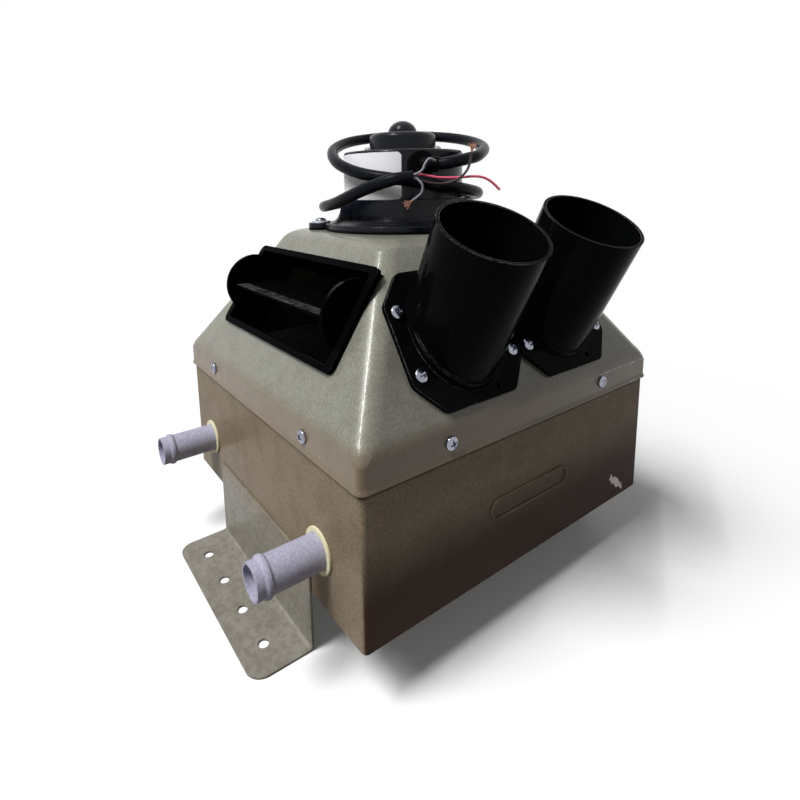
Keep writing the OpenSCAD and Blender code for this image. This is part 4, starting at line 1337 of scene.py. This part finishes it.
@dataclass(frozen=True)
class ScrewKind:
    """A pan head screw with a cross recess."""

    name: str
    head_d: float = 8.0 * MM
    head_h: float = 2.4 * MM
    shank_d: float = 3.5 * MM
    length: float = 9.0 * MM
    sides: int = 32
    tip: float = 0.4 * MM
    under_rim: float = 0.97
    rim_low: float = 0.12
    rim: float = 0.35
    dome: Sequence[int] = (0, 10, 22, 36, 52, 68, 80)
    recess_top: tuple[float, float] = (0.58, 0.15)
    recess_foot: tuple[float, float] = (0.30, 0.10)
    recess_low: float = 0.28
    recess_over: float = 0.2 * MM
    off_axis: float = 0.01
    edge: float = 0.12 * MM

    def head(self) -> bpy.types.Mesh:
        """Makes the screw, its head standing on z = 0.

        Returns:
            The mesh.
        """
        r, h, shank = self.head_d / 2, self.head_h, self.shank_d / 2
        profile = [(0, -self.length), (shank, -self.length + self.tip), (shank, 0)]
        profile += [(r * self.under_rim, 0), (r, self.rim_low * h)]
        for angle in self.dome:
            q = math.radians(angle)
            profile.append((r * math.cos(q), self.rim * h + (1 - self.rim) * h * math.sin(q)))
        profile.append((0, h))
        body = put("screw", turned(self.name, profile, self.sides))
        return bevelled(cut(body, [self.wing(0), self.wing(90)]), self.edge, 40.0)

    def wing(self, turn: float) -> bpy.types.Mesh:
        """Makes one bar of the cross recess, narrower towards its foot.

        Args:
            turn: Its direction, in degrees.

        Returns:
            The mesh to cut away.
        """
        wing = cube("wing")
        for corner in wing.vertices:
            high = corner.co.z > 0
            long, wide = self.recess_top if high else self.recess_foot
            corner.co.x *= self.head_d * long
            corner.co.y *= self.head_d * wide
            low = self.recess_low * self.head_h
            corner.co.z = self.head_h + self.recess_over if high else low
        wing.transform(spun(turn + self.off_axis, "Z"))
        return wing


@dataclass
class ScrewSet:
    """Screws of one kind, set on their places by a small node group.

    Each place is a matrix, its third axis along the screw and out of the head.
    """

    piece: str
    node: str
    kind: ScrewKind
    places: Sequence[Matrix]
    finish: Finish = Finish.SCREW

    def group(self) -> bpy.types.NodeTree:
        """Makes the node group that puts a copy of the screw on each point, turned as the point says.

        Returns:
            The group.
        """
        tree = bpy.data.node_groups.new(f"{self.piece}_on_points", "GeometryNodeTree")
        for name, kind in (("Points", "Geometry"), ("Screw", "Object"), ("Finish", "Material")):
            tree.interface.new_socket(name, in_out="INPUT", socket_type="NodeSocket" + kind)
        tree.interface.new_socket("Screws", in_out="OUTPUT", socket_type="NodeSocketGeometry")
        start = tree.nodes.new("NodeGroupInput").outputs
        end = tree.nodes.new("NodeGroupOutput").inputs
        info = tree.nodes.new("GeometryNodeObjectInfo")
        turn = tree.nodes.new("GeometryNodeInputNamedAttribute")
        turn.data_type = "FLOAT_VECTOR"
        turn.inputs["Name"].default_value = "turn"
        copies = tree.nodes.new("GeometryNodeInstanceOnPoints")
        real = tree.nodes.new("GeometryNodeRealizeInstances")
        paint = tree.nodes.new("GeometryNodeSetMaterial")
        euler = tree.nodes.new("FunctionNodeEulerToRotation")
        for source, target in (
            (start["Points"], copies.inputs["Points"]),
            (start["Screw"], info.inputs["Object"]),
            (info.outputs["Geometry"], copies.inputs["Instance"]),
            (turn.outputs["Attribute"], euler.inputs[0]),
            (euler.outputs[0], copies.inputs["Rotation"]),
            (copies.outputs["Instances"], real.inputs["Geometry"]),
            (real.outputs["Geometry"], paint.inputs["Geometry"]),
            (start["Finish"], paint.inputs["Material"]),
            (paint.outputs["Geometry"], end["Screws"]),
        ):
            tree.links.new(source, target)
        return tree

    def build(self) -> bpy.types.Object:
        """Makes the screws as one piece.

        Returns:
            The piece.
        """
        screw = bpy.data.objects.new("one_screw", self.kind.head())
        centres = [place.translation for place in self.places]
        points = mesh_from(f"{self.piece}_points", centres, [])
        turns = points.attributes.new("turn", "FLOAT_VECTOR", "POINT")
        for number, place in enumerate(self.places):
            turns.data[number].vector = place.to_euler()
        holder = put("holder", points)
        change = holder.modifiers.new("copies", "NODES")
        change.node_group = self.group()
        items = change.node_group.interface.items_tree
        keys = {item.name: item.identifier for item in items if item.in_out == "INPUT"}
        change[keys["Screw"]] = screw
        change[keys["Finish"]] = self.finish.material()
        mesh = evaluated(holder)
        bpy.data.objects.remove(screw)
        made = new_object(self.piece, mesh, self.finish, smooth=30.0)
        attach(made, "heater")
        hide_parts(self.node)
        return made


@dataclass(frozen=True)
class ScrewPlaces:
    """Where the heater's screws sit, and how far each is turned."""

    spins: Sequence[int] = (17, 62, 38, 5, 71, 26, 50, 84)
    corners: Sequence[tuple[int, int]] = ((-1, -1), (-1, 1), (1, -1), (1, 1))
    band_off: float = 69 * MM
    band_up: float = 9.5 * MM
    plate_x: float = 35.3 * MM
    plate_y: float = 17.85 * MM
    plate_spin: float = 1.3
    ear_r: float = 61.5 * MM
    ear_from: float = 144.0
    ear_t: float = 1.2 * MM
    lid_r: float = 33.5 * MM
    lid_from: float = 6.0

    def band(self) -> list[Matrix]:
        """Gives the places of the screws in the hood's band.

        Returns:
            Two on each side.
        """
        places: list[Matrix] = []
        high = SIZES.z_lip + self.band_up
        for n, (side, off) in enumerate(self.corners):
            front = moved(off * self.band_off, side * SIZES.band_y, high) @ spun(-side * 90, "X")
            flank = moved(side * SIZES.band_x, off * self.band_off, high) @ spun(side * 90, "Y")
            places.append(front @ spun(self.spins[n], "Z"))
            places.append(flank @ spun(self.spins[n + 4], "Z"))
        return places

    def plates(self) -> list[Matrix]:
        """Gives the places of the screws in the spigots' flange plates.

        Returns:
            Four on each plate.
        """
        places: list[Matrix] = []
        for side in (-1, 1):
            base = SIZES.on_front(SIZES.spigot_up) @ moved(side * SIZES.spigot_off, 0, SIZES.plate_t)
            for n, (x, y) in enumerate(self.corners):
                spin = self.spins[n + (side + 1) * 2] * self.plate_spin
                places.append(base @ moved(x * self.plate_x, y * self.plate_y, 0) @ spun(spin, "Z"))
        return places

    def round_can(self, count: int, first: float, radius: float, height: float) -> list[Matrix]:
        """Gives places on a circle about the motor's axis.

        Args:
            count: How many.
            first: Direction of the first, in degrees.
            radius: Distance from the axis.
            height: Height above the floor.

        Returns:
            The places.
        """
        places: list[Matrix] = []
        for n in range(count):
            way = spun(first + 360 / count * n, "Z") @ moved(radius, 0, height)
            places.append(way @ spun(self.spins[n], "Z"))
        return places

    def sets(self) -> list[ScrewSet]:
        """Lists the heater's screws with their places.

        Returns:
            One set for each kind.
        """
        usual = ScrewKind("pan_screw")
        small = ScrewKind("small_screw", head_d=4.8 * MM, length=3.6 * MM)
        ears = self.round_can(3, self.ear_from, self.ear_r, SIZES.can_z + self.ear_t)
        lid = self.round_can(4, self.lid_from, self.lid_r, SIZES.can_z + SIZES.can_h)
        return [
            ScrewSet("band_screws", "lip_screws", usual, self.band()),
            ScrewSet("plate_screws", "spigot_screws", usual, self.plates()),
            ScrewSet("ear_screws", "motor_screws", usual, ears),
            ScrewSet("lid_screws", "can_screws", small, lid, Finish.STEEL),
        ]


# Lead


@dataclass(frozen=True)
class Fray:
    """The bared copper strands at the end of a wire, frayed and splayed."""

    count: int = 22
    steps: int = 8
    thick: float = 0.14 * MM
    between: float = 2.4
    root: float = 0.55 * MM
    splay: tuple[float, float] = (0.6, 2.6)
    reach: tuple[float, float] = (0.7, 0.45)
    twist: float = 0.9

    def path(self, n: int, start: Vector, along: Vector) -> list[Vector]:
        """Runs one strand.

        Args:
            n: Its number.
            start: Where the wire's insulation ends.
            along: From there to the end of the bundle.

        Returns:
            Its points.
        """
        side = along.cross(Vector((0.2, 0.5, 0.8))).normalized()
        other = along.cross(side).normalized()
        root = self.root * math.sqrt(n / self.count)
        spread = (self.splay[0] + self.splay[1] * ((n * 7) % self.count) / self.count) * MM
        reach = self.reach[0] + self.reach[1] * ((n * 5) % self.count) / self.count
        path = []
        for i in range(self.steps + 1):
            s = i / self.steps
            angle = self.between * n + self.twist * s * (1 if n % 2 else -1)
            off = math.cos(angle) * side + math.sin(angle) * other
            path.append(start + along * s * reach + (root + spread * s * s) * off)
        return path

    def build(self, name: str, ends: Sequence[Point]) -> bpy.types.Object:
        """Makes the strands.

        Args:
            name: The piece's name.
            ends: Where they start and end, in millimetres.

        Returns:
            The strands, as one piece.
        """
        start, stop = Vector(ends[0]) * MM, Vector(ends[1]) * MM
        points: list[Vector] = []
        faces: list[list[int]] = []
        for n in range(self.count):
            mesh = swept("strand", self.path(n, start, stop - start), lambda s: self.thick, 6)
            base = len(points)
            points += [v.co.copy() for v in mesh.vertices]
            faces += [[base + v for v in f.vertices] for f in mesh.polygons]
        made = new_object(name, mesh_from(name, points, faces), Finish.STRAND, smooth=60.0)
        return made


@dataclass
class Lead:
    """The motor's lead: a black sleeve that winds round the can, and the wires at its cut end."""

    sleeve_d: float = 8.0 * MM
    wire_d: float = 1.6 * MM
    route: Sequence[Point] = (
        (-10.2, -50.5, 278.5), (-5.5, -56, 279.3), (6, -58.5, 281.5), (19, -56.5, 284), (41, -41, 290),
        (53.5, -19.5, 296), (56, 5, 301), (48, 28, 304), (32, 44.5, 305),
        (9.5, 53, 303), (-14, 51, 299), (-33, 40, 293), (-44, 25.5, 287),
        (-50, 7, 280), (-48, -13, 274), (-40, -30, 270.5), (-26, -43, 268),
        (-7, -50, 265), (13.5, -50, 262), (33, -42.5, 259.5), (48.5, -26, 257.5),
        (55.5, -4, 256), (53, 19.5, 255), (41, 40, 254.5), (20, 54, 253.5),
        (-5, 58, 252.5), (-28, 52, 251), (-43.5, 40, 250.5), (-52.5, 23, 251.5),
        (-56.5, 4, 254), (-56.5, -15, 259), (-52, -31, 264.5), (-43, -43.5, 269),
        (-33, -51, 270.5),
    )
    red: Sequence[Point] = (
        (-32.3, -49.9, 271.8), (-30.7, -51.1, 272), (-27, -54.5, 271.5), (-20, -60, 269.8),
        (-11, -66, 269.5), (0, -74, 270), (6, -78.5, 267.5), (11.5, -82.5, 261.5),
    )
    greys: Sequence[Sequence[Point]] = (
        (
            (-33.9, -51.9, 271.8), (-32.3, -53.1, 272), (-29, -55.3, 274.5),
            (-27.5, -56.5, 278.5), (-25, -57.5, 281.3), (-21.5, -59, 280),
        ),
        (
            (-32.1, -50, 269.2), (-30.5, -51.2, 269.4), (-25, -57, 266.8), (-18.5, -62.5, 266),
            (-12.5, -69, 268.3), (-6, -71.5, 274.5), (-3, -72, 285),
        ),
        (
            (-33.7, -52.1, 269.2), (-32.1, -53.3, 269.4), (-29.5, -55.8, 265.5),
            (-29.5, -55, 260.5), (-33.5, -51.5, 256),
        ),
    )
    strands: Sequence[Sequence[Point]] = (
        ((-3, -72, 285), (-2.6, -72.4, 290)),
        ((-33.5, -51.5, 256), (-37.6, -48.6, 252.8)),
    )
    curve_steps: int = 8
    sleeve_sides: int = 24
    wire_sides: int = 14
    swell: float = 0.012
    swell_waves: tuple[float, float] = (900, 217)
    fray: Fray = Fray()

    def wire(self, name: str, points: Sequence[Point], finish: Finish) -> bpy.types.Object:
        """Makes one wire.

        Args:
            name: The piece's name.
            points: Its route, in millimetres.
            finish: What it is made of.

        Returns:
            The wire.
        """
        path = [p * MM for p in curve_through(points, self.curve_steps)]
        r = self.wire_d / 2
        made = new_object(name, swept(name, path, lambda s: r, self.wire_sides), finish, smooth=60.0)
        return made

    def build(self) -> bpy.types.Object:
        """Returns:
            The sleeve.
        """
        path = [p * MM for p in curve_through(self.route, self.curve_steps)]
        r = self.sleeve_d / 2

        def radius(s: float) -> float:
            """Lets the sleeve swell and shrink a little along its way."""
            fast, slow = self.swell_waves
            return r * (1 - self.swell * (1 + math.sin(fast * s) * math.sin(slow * s)))

        tube = swept("sleeve", path, radius, self.sleeve_sides)
        sleeve = new_object("sleeve", tube, Finish.SLEEVE, smooth=60.0)
        wires = [self.wire("wire_red", self.red, Finish.RED_WIRE)]
        for n, points in enumerate(self.greys):
            finish = Finish.DARK_WIRE if n == 1 else Finish.GREY_WIRE
            wires.append(self.wire(f"wire_grey_{n + 1}", points, finish))
        ends = [self.fray.build(f"strands_{n + 1}", pair) for n, pair in enumerate(self.strands)]
        for piece in (sleeve, *wires, *ends):
            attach(piece, "heater")
        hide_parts("lead_sleeve")
        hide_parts("red_wire")
        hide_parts("grey_wires")
        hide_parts("wire_ends")
        return sleeve


# Label


@dataclass(frozen=True)
class Label:
    """The blank label on the can, with rounded corners."""

    start: float = 124.0
    wrap: float = 106.0
    low: float = 256.0 * MM
    height: float = 31.0 * MM
    corner: float = 3.0 * MM
    gap: float = 0.02 * MM
    thick: float = 0.25 * MM
    steps: int = 40
    corner_steps: int = 6

    def columns(self, width: float) -> list[float]:
        """Gives places along the label, closer together in its rounded corners.

        Args:
            width: The label's width.

        Returns:
            Distances from its left end.
        """
        r = self.corner
        places = {r + (width - 2 * r) * i / self.steps for i in range(self.steps + 1)}
        for centre, first in ((width - r, 0), (r, 90), (r, 180), (width - r, 270)):
            for j in range(self.corner_steps + 1):
                q = math.radians(first + 90 * j / self.corner_steps)
                places.add(round(centre + r * math.cos(q), 7))
        return sorted(places)

    def build(self) -> bpy.types.Object:
        """Makes the label.

        Returns:
            The label.
        """
        r = SIZES.can_r
        width = r * math.radians(self.wrap)
        columns = self.columns(width)
        points: list[Point] = []
        for x in columns:
            short = max(0.0, self.corner - min(x, width - x))
            trim = self.corner - math.sqrt(max(0.0, self.corner**2 - short**2))
            q = math.radians(self.start) + x / r
            for depth in (self.gap, self.thick):
                for z in (self.low + trim, self.low + self.height - trim):
                    points.append(((r + depth) * math.cos(q), (r + depth) * math.sin(q), z))
        faces: list[list[int]] = []
        for i in range(len(columns) - 1):
            a, b = 4 * i, 4 * i + 4
            faces += [[a + 2, b + 2, b + 3, a + 3], [a, a + 1, b + 1, b]]
            faces += [[a, b, b + 2, a + 2], [a + 1, a + 3, b + 3, b + 1]]
        last = 4 * (len(columns) - 1)
        faces += [[0, 2, 3, 1], [last, last + 1, last + 3, last + 2]]
        mesh = mesh_from("label", points, faces)
        outward(mesh)
        made = new_object("label", mesh, Finish.LABEL, smooth=50.0)
        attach(made, "heater")
        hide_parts("motor_label")
        return made


# Cad pieces


@dataclass(frozen=True)
class Dress:
    """How CAD nodes are finished: their material, and the rounding of their edges."""

    finish: Finish
    nodes: Sequence[str]
    round: float = 0.3 * MM
    segments: int = 2
    join_below: float = 0.002 * MM
    flat_below: float = 0.6
    round_above: float = 30.0

    def apply(self, obj: bpy.types.Object) -> None:
        """Gives a node its material and rounds its edges without touching its own mesh.

        Args:
            obj: The node.
        """
        obj.data.materials.clear()
        obj.data.materials.append(self.finish.material())
        if self.round:
            weld = obj.modifiers.new("join", "WELD")
            weld.merge_threshold = self.join_below
            flat = obj.modifiers.new("flatten", "DECIMATE")
            flat.decimate_type = "DISSOLVE"
            flat.angle_limit = math.radians(self.flat_below)
            soft = obj.modifiers.new("round", "BEVEL")
            soft.width = self.round
            soft.segments = self.segments
            soft.limit_method = "ANGLE"
            soft.angle_limit = math.radians(self.round_above)
            soft.harden_normals = True
            soft.use_clamp_overlap = True
        weigh(obj)
        LOG.info("%s dressed", obj.name)


DRESSES: tuple[Dress, ...] = (
    Dress(Finish.CASE, ("case_body",), 0.35 * MM),
    Dress(Finish.BRACKET, ("foot_bracket_left", "foot_bracket_right")),
    Dress(Finish.PAN, ("fan_pan",), 0.2 * MM),
    Dress(Finish.CORE, ("core_tank_feed", "core_tank_return")),
    Dress(Finish.CORE, ("core_tubes",), 0.0),
    Dress(Finish.FINS, ("core_fins",), 0.0),
    Dress(Finish.CORE, ("core_side_plates",), 0.2 * MM),
    Dress(Finish.FOAM, ("core_foam_lower", "core_foam_upper"), 0.4 * MM),
    Dress(Finish.PIPE, ("inlet_pipe", "outlet_pipe")),
    Dress(Finish.SEAL, ("inlet_seal", "outlet_seal"), 0.35 * MM),
    Dress(Finish.SPIGOT, ("spigot_left", "spigot_right"), 0.5 * MM, 3),
    Dress(Finish.OUTLET, ("outlet_frame",), 0.5 * MM, 3),
    Dress(Finish.VANE, ("outlet_drum",), 0.4 * MM),
    Dress(Finish.RUBBER, ("motor_gasket",), 0.2 * MM),
    Dress(Finish.MOTOR, ("motor_flange",), 0.5 * MM, 3),
    Dress(Finish.MOTOR, ("motor_can", "motor_end_plate")),
    Dress(Finish.MOTOR, ("motor_cap",), 0.4 * MM),
    Dress(Finish.MAGNET, ("motor_magnets",), 0.0),
    Dress(Finish.BRONZE, ("motor_bush_lower", "motor_bush_upper"), 0.0),
    Dress(Finish.BOARD, ("brush_holder",), 0.0),
    Dress(Finish.CARBON, ("motor_brushes",), 0.0),
    Dress(Finish.STEEL, ("armature_core",), 0.0),
    Dress(Finish.COPPER, ("armature_windings", "commutator"), 0.0),
    Dress(Finish.STEEL, ("motor_shaft",), 0.2 * MM),
    Dress(Finish.WHEEL, ("blower_wheel",), 0.2 * MM),
    Dress(Finish.SCREW, ("blower_nut",), 0.2 * MM),
    Dress(Finish.WASHER, ("motor_washers",), 0.15 * MM),
    Dress(Finish.RUBBER, ("lead_grommet",), 0.4 * MM),
)


class CabHeater:
    """The whole heater: CAD pieces with their finishes, and the pieces built here."""

    def __init__(self, frame: dict) -> None:
        """Notes the frame.
        """
        self.frame = frame

    def build(self) -> None:
        """Dresses the CAD pieces and builds the rest."""
        Lead().build()
        LOG.info("lead done")
        Hood().build()
        LOG.info("hood done")
        for screws in ScrewPlaces().sets():
            screws.build()
            LOG.info("%s done", screws.piece)
        Label().build()
        LOG.info("label done")
        for dress in DRESSES:
            for node in dress.nodes:
                dress.apply(self.frame["nodes"][node])


def main() -> None:
    """Builds the scene and reports each piece."""
    logging.basicConfig(level=logging.INFO, format="%(name)s: %(message)s")
    CameraSpec().build()
    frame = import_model()
    Studio().build()
    CabHeater(frame).build()


if __name__ == "__main__":
    main()
